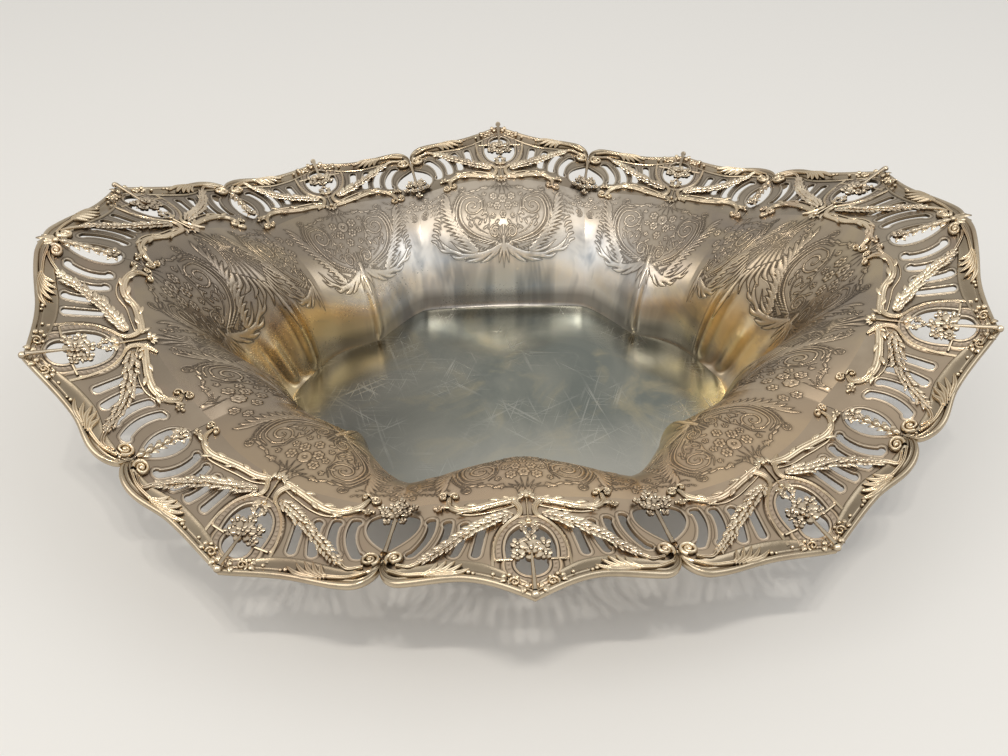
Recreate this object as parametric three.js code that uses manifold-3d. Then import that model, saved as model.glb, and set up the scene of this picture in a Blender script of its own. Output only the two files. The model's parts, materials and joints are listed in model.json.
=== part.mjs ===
// Pierced oval silver bowl: a lobed, flat-bottomed bowl with ten pierced border panels, an applied
// scroll rim, laurel garlands, flowers in the panel medallions, sprays in the valleys between
// panels and a leaf at each end.
//
// Millimetres, +Z up, +X along the length. The origin is the centre of the flat underside.
import * as THREE from 'three';
import Module from 'manifold-3d';
import { mergeVertices } from 'three/addons/utils/BufferGeometryUtils.js';

const wasm = await Module();
wasm.setup();

// Main sizes: the rim from end to end and from side to side, its height at the ends and at its
// lowest, and the flat floor.
const rimLength = 340;
const rimBreadth = 276;
const endHeight = 85.5;
const sideHeight = 46;
const floorLength = 183;
const floorBreadth = 123;

// Stations of one quadrant, from the +X end to the middle of the long side. Valleys and peaks
// of the rim alternate. The rim and the foot of the wall are shares of the main sizes: along and
// across the bowl, and up from the lowest height to that of the ends. The border's shoulder, where
// it meets the wall, lies inward of the rim and below it by its own sizes.
const stations = {
  end: {
    rim: { along: 1, across: 0, up: 1 },
    shoulder: { inX: 31.5, inY: 0, down: 11.5 },
    foot: { along: 1, across: 0 },
  },
  endPeak: {
    rim: { along: 0.941, across: 0.384, up: 0.684 },
    shoulder: { inX: 34, inY: 19, down: 8.5 },
    foot: { along: 0.913, across: 0.317 },
  },
  quarterValley: {
    rim: { along: 0.738, across: 0.612, up: 0.228 },
    shoulder: { inX: 22, inY: 26, down: 7 },
    foot: { along: 0.809, across: 0.504 },
  },
  sidePeak: {
    rim: { along: 0.532, across: 0.866, up: 0 },
    shoulder: { inX: 12.5, inY: 37, down: 1.5 },
    foot: { along: 0.628, across: 0.626 },
  },
  sideValley: {
    rim: { along: 0.256, across: 0.87, up: 0.013 },
    shoulder: { inX: 5, inY: 25.5, down: 4 },
    foot: { along: 0.41, across: 0.976 },
  },
  middlePeak: {
    rim: { along: 0, across: 1, up: 0.215 },
    shoulder: { inX: 0, inY: 41, down: 5.5 },
    foot: { along: 0, across: 1 },
  },
};

// Wall: how far each control point reaches across the wall, as shares of its width and height.
const wallForm = {
  end: { reach: 0.6, drop: 0.35, heel: 0.2 },
  endPeak: { reach: 1.03, drop: 0.25, heel: 0.02 },
  quarterValley: { reach: 1.15, drop: 0.07, heel: 0.05 },
  sidePeak: { reach: 1.25, drop: 0.22, heel: 0.02 },
  sideValley: { reach: 0.95, drop: 0.2, heel: 0.05 },
  middlePeak: { reach: 1.4, drop: 0.09, heel: 0.2 },
};

// Sheet gauges and the clearance between touching pieces.
const bodyGauge = 1.2;
const borderGauge = 1.2;
const clearance = 0.3;

// Beside each kind of valley: depth of the border at the rim's waist, bulge and notch, the rim's
// distance from the valley line, the lens between two panels (mouth, tip and width) and the inner
// and outer depth of the slot nearest to it.
const waistAt = 0.5;
const bulgeAt = 0.84;
const valleys = {
  end: {
    rim: { waist: 32.2, bulge: 32.6, notch: 29.5, end: 2.6 },
    lens: { mouth: 3.5, tip: 23.6, width: 9 },
    slot: { inner: 6.5, outer: 22.6 },
  },
  quarterValley: {
    rim: { waist: 34.6, bulge: 37.6, notch: 33.5, end: 0 },
    lens: { mouth: 9.5, tip: 27.4, width: 9 },
    slot: { inner: 10.5, outer: 27.4 },
  },
  sideValley: {
    rim: { waist: 33, bulge: 34, notch: 26, end: 0 },
    lens: { mouth: 3, tip: 19.4, width: 16 },
    slot: { inner: 7, outer: 22.6 },
  },
};

// Scroll rim: its width along the way from peak to valley, its height over the sheet and how far
// its keel drops below the sheet.
const rimWidth = { peak: 5.6, waist: 7.6, bulge: 7, valley: 5 };
const rimRise = 1.7;
const rimDrop = 0.6;
const rimKeelAt = 0.3;
// Places along a half rim, besides the ends of the lines of the panel's grid.
const rimPlaces = [0.13, 0.23, 0.62, 0.76, 0.93];
// Upper section of the rim: share of its width in from the outer edge, and share of its rise.
const rimSection = [
  { across: 1, rise: 0.3 },
  { across: 0.3, rise: 1 },
  { across: 0, rise: 0.4 },
];

// Slots of a half panel: four, from the medallion out to the valley, placed along the half panel.
const slotCount = 4;
const slotWidth = 2.7;
const slotInnerStart = 0.335;
const slotInnerPitch = 0.143;
const slotOuterStart = 0.375;
const slotOuterPitch = 0.153;
const slotInnerDepth = 11.5;
const slotOuterDepth = 24.4;
const slotBow = 0.05;
const slotEndWidth = 0.42;
// Lens between two panels: shares of its length and of its half width.
const lensRows = [
  { along: 0, width: 0.45 },
  { along: 0.18, width: 0.95 },
  { along: 0.5, width: 1 },
  { along: 0.8, width: 0.5 },
  { along: 1, width: 0 },
];

// Keyhole medallion: depth from the shoulder and half width, down one side.
const medallion = [
  { depth: 12.2, half: 2.4 },
  { depth: 16, half: 6.6 },
  { depth: 25.8, half: 7.3 },
  { depth: 28.2, half: 4.7 },
  { depth: 32.4, half: 2.2 },
];
const frameRise = 0.7;
const shoulderRise = 0.8;

// Garlands: share of the half panel that an arm spans, depth where the arms meet, curve of the
// swag, and the size of the section, whose width and height shrink to the tip.
const garlandEndAt = 0.72;
const garlandStart = 5.2;
const garlandBend = 1.6;
const garlandWidth = 5.4;
const garlandTipWidth = 2;
const garlandRise = 1.9;
const garlandTipRise = 0.95;
const garlandPlaces = [0, 0.16, 0.36, 0.57, 0.78, 1];
const garlandSection = [
  { across: -1, rise: 0 },
  { across: -0.75, rise: 0.6 },
  { across: 0, rise: 1 },
  { across: 0.75, rise: 0.6 },
  { across: 1, rise: 0 },
];

// Flowers: petals, and loops from the back to the front as shares of reach and rise.
const petals = 5;
const flowerLoops = [
  { reach: 0.92, between: 0.7, rise: 0 },
  { reach: 1, between: 0.72, rise: 0.45 },
  { reach: 0.45, between: 1, rise: 1 },
];
// Medallion flowers with their pins.
const flowerReach = 6.6;
const flowerDepth = 21.5;
const flowerRise = 2.6;
const pinRadius = 0.7;
const beadRadius = 1.5;
// Valley sprays: a posy on a plain stem at the side valleys, a flower on a stem of husks elsewhere.
const posy = { reach: 5.4, rise: 3, depth: 6, lift: 1.9 };
const huskFlower = { reach: 3.4, rise: 2.6, lift: 0.5 };
const stemRadius = 0.65;
const huskRadius = 1.25;
const huskCount = 4;
// End leaves: lobes that fan out from a plain stalk.
const leafLobes = 5;
const leafWidth = 5.2;
const leafGauge = 1.6;
const leafStalk = 0.35;
const leafBetween = 0.78;

// Round bars: sides of a pin and of a stem, and where a stem enters its flower, as a share of rise.
const pinSides = 6;
const stemSides = 5;
const stemSeat = 0.4;

const silver = { sheet: '#b9ab93', wall: '#a8a290', cast: '#c9b89c', flower: '#d2c4ab' };
const quadrant = Object.keys(stations);
const stationCount = 4 * (quadrant.length - 1);
const panelCount = stationCount / 2;

const { lerp, clamp } = THREE.MathUtils;

// Station k of the ring, counted anticlockwise from the +X end.
function ringStation(k) {
  const quarter = quadrant.length - 1;
  const turn = ((k % stationCount) + stationCount) % stationCount;
  const half = turn % (2 * quarter);
  const name = quadrant[half <= quarter ? half : 2 * quarter - half];
  const signX = turn > quarter && turn < 3 * quarter ? -1 : 1;
  const signY = turn > 2 * quarter ? -1 : 1;
  const { rim, shoulder, foot } = stations[name];
  const x = (rim.along * rimLength) / 2;
  const y = (rim.across * rimBreadth) / 2;
  const z = lerp(sideHeight, endHeight, rim.up);
  const at = (px, py, pz) => new THREE.Vector3(signX * px, signY * py, pz);
  const rimPoint = at(x, y, z);
  const shoulderPoint = at(x - shoulder.inX, y - shoulder.inY, z - shoulder.down);
  return {
    name,
    shoulder: shoulderPoint,
    foot: at((foot.along * floorLength) / 2, (foot.across * floorBreadth) / 2, bodyGauge),
    outward: rimPoint.clone().sub(shoulderPoint).normalize(),
    depth: rimPoint.distanceTo(shoulderPoint),
  };
}

const ring = Array.from({ length: stationCount }, (_, k) => ringStation(k));
const station = (k) => ring[((k % stationCount) + stationCount) % stationCount];

// Parabola through a, b, c at s = -1, 0, 1, and its slope.
const parabola = (s) => [(s * (s - 1)) / 2, 1 - s * s, (s * (s + 1)) / 2];
const parabolaSlope = (s) => [s - 0.5, -2 * s, s + 0.5];
const mix = (weights, points) =>
  points.reduce((sum, point, i) => sum.addScaledVector(point, weights[i]), new THREE.Vector3());

// Round the wall the foot and the form of the section change smoothly through the valleys and
// turn sharply at the ridges. Given is how a value changes per station at each of these.
const ridges = ['endPeak', 'sidePeak'];
const softTurn = 0.5;
const isRidge = (k) => ridges.includes(station(k).name);
const isBetweenRidges = (k) => isRidge(k - 1) && isRidge(k + 1);
function betweenStations(u, value) {
  const k = Math.floor(u);
  const [a, b] = [value(station(k)), value(station(k + 1))];
  const smooth = (j) =>
    ((value(station(j + 1)) - value(station(j - 1))) / 2) * (isBetweenRidges(j) ? 1 : softTurn);
  const sharp = (slope) => 1.5 * (b - a) - 0.5 * slope;
  const slopes = isRidge(k) ? [sharp(smooth(k + 1)), smooth(k + 1)] : [smooth(k), smooth(k + 1)];
  if (isRidge(k + 1)) slopes[1] = sharp(slopes[0]);
  const t = u - k;
  const [from, to] = slopes;
  return a + t * (from + t * (3 * (b - a) - 2 * from - to + t * (2 * (a - b) + from + to)));
}

// One border panel between two valleys. Its surface is measured by s, from -1 at one valley to 1
// at the next, and by depth, in millimetres out from the shoulder.
class Panel {
  constructor(index) {
    const peak = 2 * index + 1;
    this.trio = [station(peak - 1), station(peak), station(peak + 1)];
    this.shoulders = this.trio.map((t) => t.shoulder);
    this.outwards = this.trio.map((t) => t.outward);
    this.peakDepth = this.trio[1].depth;
    const middle = (slotInnerDepth + slotOuterDepth) / 2;
    this.halfSpan = this.point(-1, middle).distanceTo(this.point(1, middle)) / 2;
    this.openings = [-1, 1].map((side) => openingLines(this, side));
    const ends = (lines) => lines.slice(0, -1).map((line) => line.at(-1).s);
    this.edgePlaces = this.openings.map((lines) => [...ends(lines), this.seam]);
  }
  valley(s) {
    return valleys[this.trio[s < 0 ? 0 : 2].name];
  }
  point(s, depth, lift = 0) {
    const weights = parabola(s);
    const base = mix(weights, this.shoulders).addScaledVector(mix(weights, this.outwards), depth);
    return lift === 0 ? base : base.addScaledVector(this.normal(s, depth), lift);
  }
  normal(s, depth) {
    const outward = mix(parabola(s), this.outwards);
    const slope = parabolaSlope(s);
    const along = mix(slope, this.shoulders).addScaledVector(mix(slope, this.outwards), depth);
    return outward.cross(along).normalize();
  }
  // Depth of the rim's outer edge: a peak, a waist, a bulge and a rounded drop to the notch.
  rimDepth(s) {
    const a = Math.abs(s);
    const { waist, bulge, notch } = this.valley(s).rim;
    if (a < waistAt) return lerp(this.peakDepth, waist, Math.sin(((a / waistAt) * Math.PI) / 2));
    const t = Math.min(1, (a - bulgeAt) / (1 - bulgeAt));
    if (t > 0) return lerp(bulge, notch, 1 - Math.sqrt(1 - t * t));
    const swell = (a - waistAt) / (bulgeAt - waistAt);
    return lerp(waist, bulge, (1 - Math.cos(swell * Math.PI)) / 2);
  }
  rimWidth(s) {
    const a = Math.abs(s);
    const { peak, waist, bulge, valley } = rimWidth;
    if (a < waistAt) return lerp(peak, waist, Math.sin(((a / waistAt) * Math.PI) / 2));
    if (a < bulgeAt) return lerp(waist, bulge, (a - waistAt) / (bulgeAt - waistAt));
    return lerp(bulge, valley, (a - bulgeAt) / (1 - bulgeAt));
  }
  // Half panels stop short of the valley line by half of the clearance.
  get seam() {
    return 1 - clearance / 2 / this.halfSpan;
  }
  // Depth of the rim's inner edge, straight between the lines of the panel's grid.
  rimInner(s) {
    const a = Math.abs(s);
    const places = this.edgePlaces[s < 0 ? 0 : 1];
    const next = Math.max(1, places.findIndex((place) => place >= a));
    const depthAt = (place) => this.rimDepth(Math.sign(s) * place) - this.rimWidth(place);
    const [from, to] = [places[next - 1], places[next]];
    return lerp(depthAt(from), depthAt(to), clamp((a - from) / (to - from), 0, 1));
  }
}

function geometryFrom(points, triangles) {
  const geometry = new THREE.BufferGeometry();
  const places = points.flatMap((p) => [p.x, p.y, p.z]);
  geometry.setAttribute('position', new THREE.Float32BufferAttribute(places, 3));
  geometry.setIndex(triangles.flat());
  geometry.computeVertexNormals();
  return geometry;
}

// Closed plate from a grid of top and bottom points. open(row, column) says which cells are
// pierced, and every edge between a cell and the open air gets a wall.
function plate(top, bottom, open = () => false) {
  const rows = top.length;
  const columns = top[0].length;
  const points = [...top.flat(), ...bottom.flat()];
  const under = rows * columns;
  const id = (r, c) => r * columns + c;
  const solid = (r, c) => r >= 0 && c >= 0 && r < rows - 1 && c < columns - 1 && !open(r, c);
  const triangles = [];
  const quad = (a, b, c, d) => triangles.push([a, b, c], [a, c, d]);
  for (let r = 0; r < rows - 1; r++) {
    for (let c = 0; c < columns - 1; c++) {
      if (!solid(r, c)) continue;
      const corners = [id(r, c), id(r + 1, c), id(r + 1, c + 1), id(r, c + 1)];
      quad(...corners);
      quad(...corners.map((k) => k + under).reverse());
      const sides = [[r, c - 1], [r + 1, c], [r, c + 1], [r - 1, c]];
      sides.forEach(([nr, nc], side) => {
        if (solid(nr, nc)) return;
        const from = corners[side];
        const to = corners[(side + 1) % 4];
        quad(to, from, from + under, to + under);
      });
    }
  }
  return geometryFrom(points, triangles);
}

// Closed bar from a list of sections, each a loop of points in the same order.
function bar(sections) {
  const sides = sections[0].length;
  const points = sections.flat();
  const triangles = [];
  sections.slice(1).forEach((_, i) => {
    for (let k = 0; k < sides; k++) {
      const a = i * sides + k;
      const b = i * sides + ((k + 1) % sides);
      triangles.push([a, b, b + sides], [a, b + sides, a + sides]);
    }
  });
  const last = (sections.length - 1) * sides;
  for (let k = 1; k < sides - 1; k++) {
    triangles.push([0, k + 1, k], [last, last + k, last + k + 1]);
  }
  return geometryFrom(points, triangles);
}

const panels = Array.from({ length: panelCount }, (_, i) => new Panel(i));

const wallRows = [0, 0.15, 0.3, 0.44, 0.58, 0.77, 1];
const columnsPerStation = 4;
const normalStep = 0.02;

// Point of the bowl's inner face: u counts stations round the ring and v runs from the shoulder
// down to the floor.
function wallPoint(u, v) {
  const panel = panels[Math.floor((u % stationCount) / 2)];
  const top = panel.point((u % 2) - 1, 0);
  const footAt = (axis) => betweenStations(u, (t) => t.foot[axis]);
  const foot = new THREE.Vector3(footAt('x'), footAt('y'), bodyGauge);
  const form = (key) => betweenStations(u, (t) => wallForm[t.name][key]);
  const reach = top.clone().lerp(foot, form('reach'));
  reach.z = lerp(top.z, foot.z, form('drop'));
  const heel = foot.clone().lerp(top, form('heel'));
  heel.z = foot.z;
  return new THREE.CubicBezierCurve3(top, reach, heel, foot).getPoint(v);
}

// Normal of the inner face: that of the border at the shoulder, and upright on the floor.
function wallNormal(u, v) {
  if (v === 0) return panels[Math.floor(u / 2)].normal((u % 2) - 1, 0);
  if (v === 1) return new THREE.Vector3(0, 0, 1);
  const down = wallPoint(u, v + normalStep).sub(wallPoint(u, v - normalStep));
  const along = wallPoint(u + normalStep, v).sub(wallPoint(u + stationCount - normalStep, v));
  return along.cross(down).normalize();
}

function bowlGeometry() {
  const columns = stationCount * columnsPerStation;
  const inner = [];
  const outer = [];
  for (let c = 0; c < columns; c++) {
    const u = c / columnsPerStation;
    wallRows.forEach((v) => {
      const point = wallPoint(u, v);
      inner.push(point);
      outer.push(point.clone().addScaledVector(wallNormal(u, v), -bodyGauge));
    });
  }
  const rows = wallRows.length;
  const under = inner.length;
  const points = [...inner, ...outer, new THREE.Vector3(0, 0, bodyGauge), new THREE.Vector3(0, 0, 0)];
  const floorTop = points.length - 2;
  const floorUnder = points.length - 1;
  const triangles = [];
  for (let c = 0; c < columns; c++) {
    const a = c * rows;
    const b = ((c + 1) % columns) * rows;
    for (let r = 0; r < rows - 1; r++) {
      triangles.push([a + r, b + r, b + r + 1], [a + r, b + r + 1, a + r + 1]);
      const [p, q] = [a + r + under, b + r + under];
      triangles.push([p, q + 1, q], [p, p + 1, q + 1]);
    }
    triangles.push([a, b + under, b], [a, a + under, b + under]);
    const [footA, footB] = [a + rows - 1, b + rows - 1];
    triangles.push([footA, footB, floorTop], [footA + under, floorUnder, footB + under]);
  }
  return geometryFrom(points, triangles);
}

// Grid lines down both sides of each opening of a half panel, from the medallion's axis to the
// valley. A line has five rows of points that follow the opening from its inner end to its outer.
function openingLines(panel, side) {
  const { lens, slot } = panel.valley(side);
  const share = (mm) => mm / panel.halfSpan;
  const keyhole = (width) => medallion.map(({ depth, half }) => ({ s: share(half) * width, depth }));
  const lines = [keyhole(0), keyhole(1)];
  for (let i = 0; i < slotCount; i++) {
    const along = i / (slotCount - 1);
    const from = { s: slotInnerStart + i * slotInnerPitch, depth: lerp(slotInnerDepth, slot.inner, along) };
    const to = { s: slotOuterStart + i * slotOuterPitch, depth: lerp(slotOuterDepth, slot.outer, along) };
    const round = slotWidth / 2 / (to.depth - from.depth);
    for (const edge of [-1, 1]) {
      lines.push([0, round, 0.5, 1 - round, 1].map((t) => {
        const bow = slotBow * along * 4 * t * (1 - t);
        const half = share(slotWidth / 2) * (t === 0 || t === 1 ? slotEndWidth : 1);
        return { s: lerp(from.s, to.s, t) - bow + edge * half, depth: lerp(from.depth, to.depth, t) };
      }));
    }
  }
  lines.push(lensRows.map(({ along, width }) => ({
    s: panel.seam - share(lens.width / 2) * width,
    depth: lerp(lens.mouth, lens.tip, along),
  })));
  return lines;
}

// Full grid of a half panel: the opening lines run on to the shoulder and to the rim.
function halfPanelLines(panel, side) {
  const lines = panel.openings[side < 0 ? 0 : 1];
  return lines.map((line, j) => {
    const valleyLine = j === lines.length - 1;
    const frame = j === 1 ? frameRise : 0;
    const rows = line.map((p) => ({ s: p.s * side, depth: p.depth, rise: frame }));
    const innerS = side * (valleyLine ? panel.seam : line[0].s);
    const outerS = side * (valleyLine ? panel.seam : line.at(-1).s);
    const outer = { s: outerS, depth: panel.rimInner(outerS) - clearance, rise: frame };
    return [{ s: innerS, depth: clearance, rise: shoulderRise }, ...rows, outer];
  });
}

function panelGeometry(panel) {
  const left = halfPanelLines(panel, -1).reverse();
  const right = halfPanelLines(panel, 1).slice(1);
  const lines = [...left, ...right];
  const axis = left.length - 1;
  const rows = lines[0].map((_, r) => lines.map((line) => line[r]));
  const top = rows.map((row) => row.map((p) => panel.point(p.s, p.depth, p.rise)));
  const bottom = rows.map((row) => row.map((p) => panel.point(p.s, p.depth, -borderGauge)));
  const open = (r, c) => {
    const fromAxis = c >= axis ? c - axis : axis - 1 - c;
    return r >= 1 && r <= 4 && fromAxis % 2 === 0;
  };
  return plate(top, bottom, open);
}

// Scroll rim of one panel: a bead along the outer edge that falls to the pierced sheet.
function rimGeometry(panel) {
  const halfPlaces = (side) => {
    const end = panel.seam - panel.valley(side).rim.end / panel.halfSpan;
    const gridEnds = panel.edgePlaces[side < 0 ? 0 : 1];
    const kept = gridEnds.filter((_, i) => i % 2 === 1 || i === 2 * slotCount);
    const places = [...rimPlaces, ...kept].filter((s) => s < end);
    return [...places, end].sort((a, b) => a - b).map((s) => s * side);
  };
  const places = [...halfPlaces(-1).reverse(), 0, ...halfPlaces(1)];
  return bar(places.map((s) => {
    const outer = panel.rimDepth(s);
    const width = outer - panel.rimInner(s);
    const at = (across, lift) => panel.point(s, outer - across * width, lift);
    const upper = rimSection.map(({ across, rise }) => at(across, rise * rimRise));
    return [...upper, at(rimKeelAt, -borderGauge - rimDrop), at(1, -borderGauge)];
  }));
}

// Garland of one panel: two laurel arms that meet at the neck and run out to the valley scrolls.
function garlandGeometry(panel) {
  const places = [...garlandPlaces.slice(1).reverse().map((t) => -t), ...garlandPlaces];
  const path = (t) => {
    const end = t < 0 ? -garlandEndAt : garlandEndAt;
    const far = panel.rimInner(end) - clearance - garlandTipWidth / 2;
    const depth = lerp(garlandStart, far, Math.abs(t) ** garlandBend);
    return new THREE.Vector2(t * garlandEndAt * panel.halfSpan, depth);
  };
  return bar(places.map((t) => {
    const centre = path(t);
    const before = path(Math.max(-1, t - normalStep));
    const along = path(Math.min(1, t + normalStep)).sub(before).normalize();
    const half = lerp(garlandWidth, garlandTipWidth, t * t) / 2;
    const height = lerp(garlandRise, garlandTipRise, t * t);
    const seat = Math.abs(centre.x) / panel.halfSpan < slotInnerStart ? frameRise : 0;
    return garlandSection.map(({ across, rise }) => {
      const x = centre.x - along.y * across * half;
      const depth = centre.y + along.x * across * half;
      return panel.point(x / panel.halfSpan, depth, seat + clearance + rise * height);
    });
  }));
}

// Solids for joining pieces by manifold-3d.
function toSolid(geometry) {
  const bare = geometry.clone();
  bare.deleteAttribute('normal');
  bare.deleteAttribute('uv');
  const merged = mergeVertices(bare, 1e-5);
  return new wasm.Manifold(new wasm.Mesh({
    numProp: 3,
    vertProperties: new Float32Array(merged.attributes.position.array),
    triVerts: new Uint32Array(merged.index.array),
  }));
}

function joined(geometries) {
  const solid = geometries.map(toSolid).reduce((a, b) => a.add(b));
  const mesh = solid.getMesh();
  const geometry = new THREE.BufferGeometry();
  geometry.setAttribute('position', new THREE.BufferAttribute(new Float32Array(mesh.vertProperties), 3));
  geometry.setIndex(new THREE.BufferAttribute(new Uint32Array(mesh.triVerts), 1));
  geometry.computeVertexNormals();
  return geometry;
}

// Rosette: petals round a raised middle, on the XY plane.
function rosette(reach, rise) {
  return bar(flowerLoops.map((loop) => Array.from({ length: 2 * petals }, (_, k) => {
    const radius = reach * loop.reach * (k % 2 === 0 ? 1 : loop.between);
    const angle = (k * Math.PI) / petals;
    return new THREE.Vector3(radius * Math.cos(angle), radius * Math.sin(angle), rise * loop.rise);
  })));
}

// Round bar from one point to another, with its radius given at shares of its length.
function spindle(from, to, profile, sides) {
  const along = to.clone().sub(from);
  const upright = new THREE.Vector3(0, 0, 1);
  const turn = new THREE.Quaternion().setFromUnitVectors(upright, along.clone().normalize());
  return bar(profile.map(({ at, radius }) => Array.from({ length: sides }, (_, k) => {
    const angle = (2 * Math.PI * k) / sides;
    const offset = new THREE.Vector3(radius * Math.cos(angle), radius * Math.sin(angle), 0);
    return offset.applyQuaternion(turn).add(from).addScaledVector(along, at);
  })));
}

// Puts a flat form over a point of the border, with its +Y pointing out to the rim.
function seatOn(geometry, point, outward, up) {
  const across = outward.clone().cross(up).normalize();
  return geometry.applyMatrix4(new THREE.Matrix4().makeBasis(across, outward, up).setPosition(point));
}

// The line of a valley, with the mean normal of the two panels that meet there.
function valleyLine(valley) {
  const [before, after] = [panels[(valley / 2 + panelCount - 1) % panelCount], panels[valley / 2]];
  const { outward, shoulder, depth, name } = station(valley);
  const up = before.normal(1, depth / 2).add(after.normal(-1, depth / 2)).normalize();
  const point = (along, lift) => shoulder.clone().addScaledVector(outward, along).addScaledVector(up, lift);
  return { point, outward, up, depth, name };
}

// Flower of one medallion, with the straight pin that runs over the rim to a bead on the peak.
function flowerGeometry(panel) {
  const seat = panel.point(0, flowerDepth, -borderGauge / 2);
  const up = panel.normal(0, flowerDepth);
  const flower = seatOn(rosette(flowerReach, flowerRise), seat, panel.outwards[1], up);
  const from = panel.point(0, flowerDepth, flowerRise - borderGauge);
  const to = panel.point(0, panel.peakDepth + beadRadius, rimRise + clearance + beadRadius);
  const inBeads = from.distanceTo(to) / beadRadius;
  const pin = [
    { at: 0, radius: pinRadius },
    { at: 1 - 2 / inBeads, radius: pinRadius },
    { at: 1 - 1.5 / inBeads, radius: beadRadius },
    { at: 1 - 0.5 / inBeads, radius: beadRadius },
    { at: 1, radius: beadRadius / 2 },
  ];
  return joined([flower, spindle(from, to, pin, pinSides)]);
}

// Spray in a valley opening: a stem from the rim to a flower at the shoulder.
function sprayGeometry(valley) {
  const line = valleyLine(valley);
  const { rim, lens } = valleys[line.name];
  const plain = line.name === 'sideValley';
  const { reach, rise, lift, depth = lens.mouth + reach } = plain ? posy : huskFlower;
  const from = line.point(rim.notch - rimWidth.valley - stemRadius, clearance + 2 * stemRadius);
  const to = line.point(depth, lift + stemSeat * rise);
  const head = seatOn(rosette(reach, rise), line.point(depth, lift), line.outward, line.up);
  const husks = Array.from({ length: 2 * huskCount + 1 }, (_, i) => ({
    at: i / (2 * huskCount),
    radius: i % 2 === 1 ? huskRadius : stemRadius,
  }));
  const stem = plain ? [husks[0], husks.at(-1)] : husks;
  return joined([head, spindle(from, to, stem, stemSides)]);
}

// Leaf at an end of the bowl: lobes that fan out past the notch between two rims.
function endLeafGeometry(valley) {
  const line = valleyLine(valley);
  const half = leafWidth / 2;
  const panel = panels[valley / 2];
  const root = panel.rimInner(half / panel.halfSpan - 1);
  const length = line.depth - root;
  const shape = new THREE.Shape();
  shape.moveTo(-half, 0);
  for (let i = 0; i <= 2 * leafLobes; i++) {
    const angle = Math.PI * (1 - i / (2 * leafLobes));
    const reach = i % 2 === 1 ? 1 : leafBetween;
    shape.lineTo(half * Math.cos(angle) * reach, length * lerp(leafStalk, 1, Math.sin(angle) * reach));
  }
  shape.lineTo(half, 0);
  const leaf = new THREE.ExtrudeGeometry(shape, { depth: leafGauge, bevelEnabled: false });
  return seatOn(leaf, line.point(root, -borderGauge / 2), line.outward, line.up);
}

const bowl = new THREE.Group();

function add(name, geometry, color, roughness) {
  const mesh = new THREE.Mesh(geometry, new THREE.MeshStandardMaterial({ color, roughness, metalness: 1 }));
  mesh.name = name;
  bowl.add(mesh);
}

add('bowl_body', bowlGeometry(), silver.wall, 0.25);
panels.forEach((panel, i) => {
  add(`border_panel_${i + 1}`, panelGeometry(panel), silver.sheet, 0.35);
  add(`scroll_rim_${i + 1}`, rimGeometry(panel), silver.cast, 0.3);
  add(`garland_${i + 1}`, garlandGeometry(panel), silver.flower, 0.35);
  add(`medallion_flower_${i + 1}`, flowerGeometry(panel), silver.flower, 0.3);
  add(`valley_spray_${i + 1}`, sprayGeometry(2 * i), silver.flower, 0.3);
});
[0, stationCount / 2].forEach((valley, i) => {
  add(`end_leaf_${i + 1}`, endLeafGeometry(valley), silver.cast, 0.3);
});

export default bowl;
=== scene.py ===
import json
import math

import bpy
import numpy as np
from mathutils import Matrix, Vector

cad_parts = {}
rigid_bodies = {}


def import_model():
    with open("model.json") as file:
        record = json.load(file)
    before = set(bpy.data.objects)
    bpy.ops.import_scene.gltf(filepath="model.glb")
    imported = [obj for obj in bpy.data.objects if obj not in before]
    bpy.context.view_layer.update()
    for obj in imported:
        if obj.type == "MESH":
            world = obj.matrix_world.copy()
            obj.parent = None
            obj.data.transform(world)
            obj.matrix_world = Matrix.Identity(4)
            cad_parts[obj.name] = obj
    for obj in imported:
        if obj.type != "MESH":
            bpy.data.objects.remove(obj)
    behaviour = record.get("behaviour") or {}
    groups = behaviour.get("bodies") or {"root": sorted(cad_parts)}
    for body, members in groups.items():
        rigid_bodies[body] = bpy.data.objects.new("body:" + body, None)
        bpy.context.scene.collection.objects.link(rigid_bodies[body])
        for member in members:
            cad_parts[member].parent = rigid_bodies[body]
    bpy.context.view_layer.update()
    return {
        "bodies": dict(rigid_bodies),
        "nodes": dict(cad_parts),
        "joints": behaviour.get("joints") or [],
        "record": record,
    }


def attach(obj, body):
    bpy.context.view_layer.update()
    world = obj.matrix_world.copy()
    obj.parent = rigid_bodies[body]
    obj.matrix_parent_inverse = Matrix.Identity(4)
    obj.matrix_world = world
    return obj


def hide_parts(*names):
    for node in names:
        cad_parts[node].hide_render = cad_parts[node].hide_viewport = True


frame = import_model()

# The lobed wall: one sheet of silver with the floor, raised with ten lobes and chased on the upper
# wall with scrolls, leaves and flowers. The lower wall is polished plain.

# Twenty stations stand round the bowl, one at each valley and peak of its outline. The lists hold a
# quarter of them, from the end to the middle of a long side, in mm or as shares of the wall.
STATIONS = 20
RIM = [(170, 0, 85.5), (160, 53, 73), (125.5, 84.5, 55), (90.5, 119.5, 46), (43.5, 120, 46.5), (0, 138, 54.5)]
SHOULDER = [(138.5, 0, 74), (126, 34, 64.5), (103.5, 58.5, 48), (78, 82.5, 44.5), (38.5, 94.5, 42.5), (0, 97, 49)]
FOOT = [(91.5, 0, 1.2), (83.5, 19.5, 1.2), (74, 31, 1.2), (57.5, 38.5, 1.2), (37.5, 60, 1.2), (0, 61.5, 1.2)]
REACH = [0.6, 1.03, 1.15, 1.25, 0.95, 1.4]
DROP = [0.35, 0.25, 0.07, 0.22, 0.2, 0.09]
HEEL = [0.2, 0.02, 0.05, 0.02, 0.05, 0.2]
RIDGES = [1, 3, 7, 9, 11, 13, 17, 19]  # the stations where two lobes meet in a sharp ridge
GAUGE = 1.2  # thickness of the sheet


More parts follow.
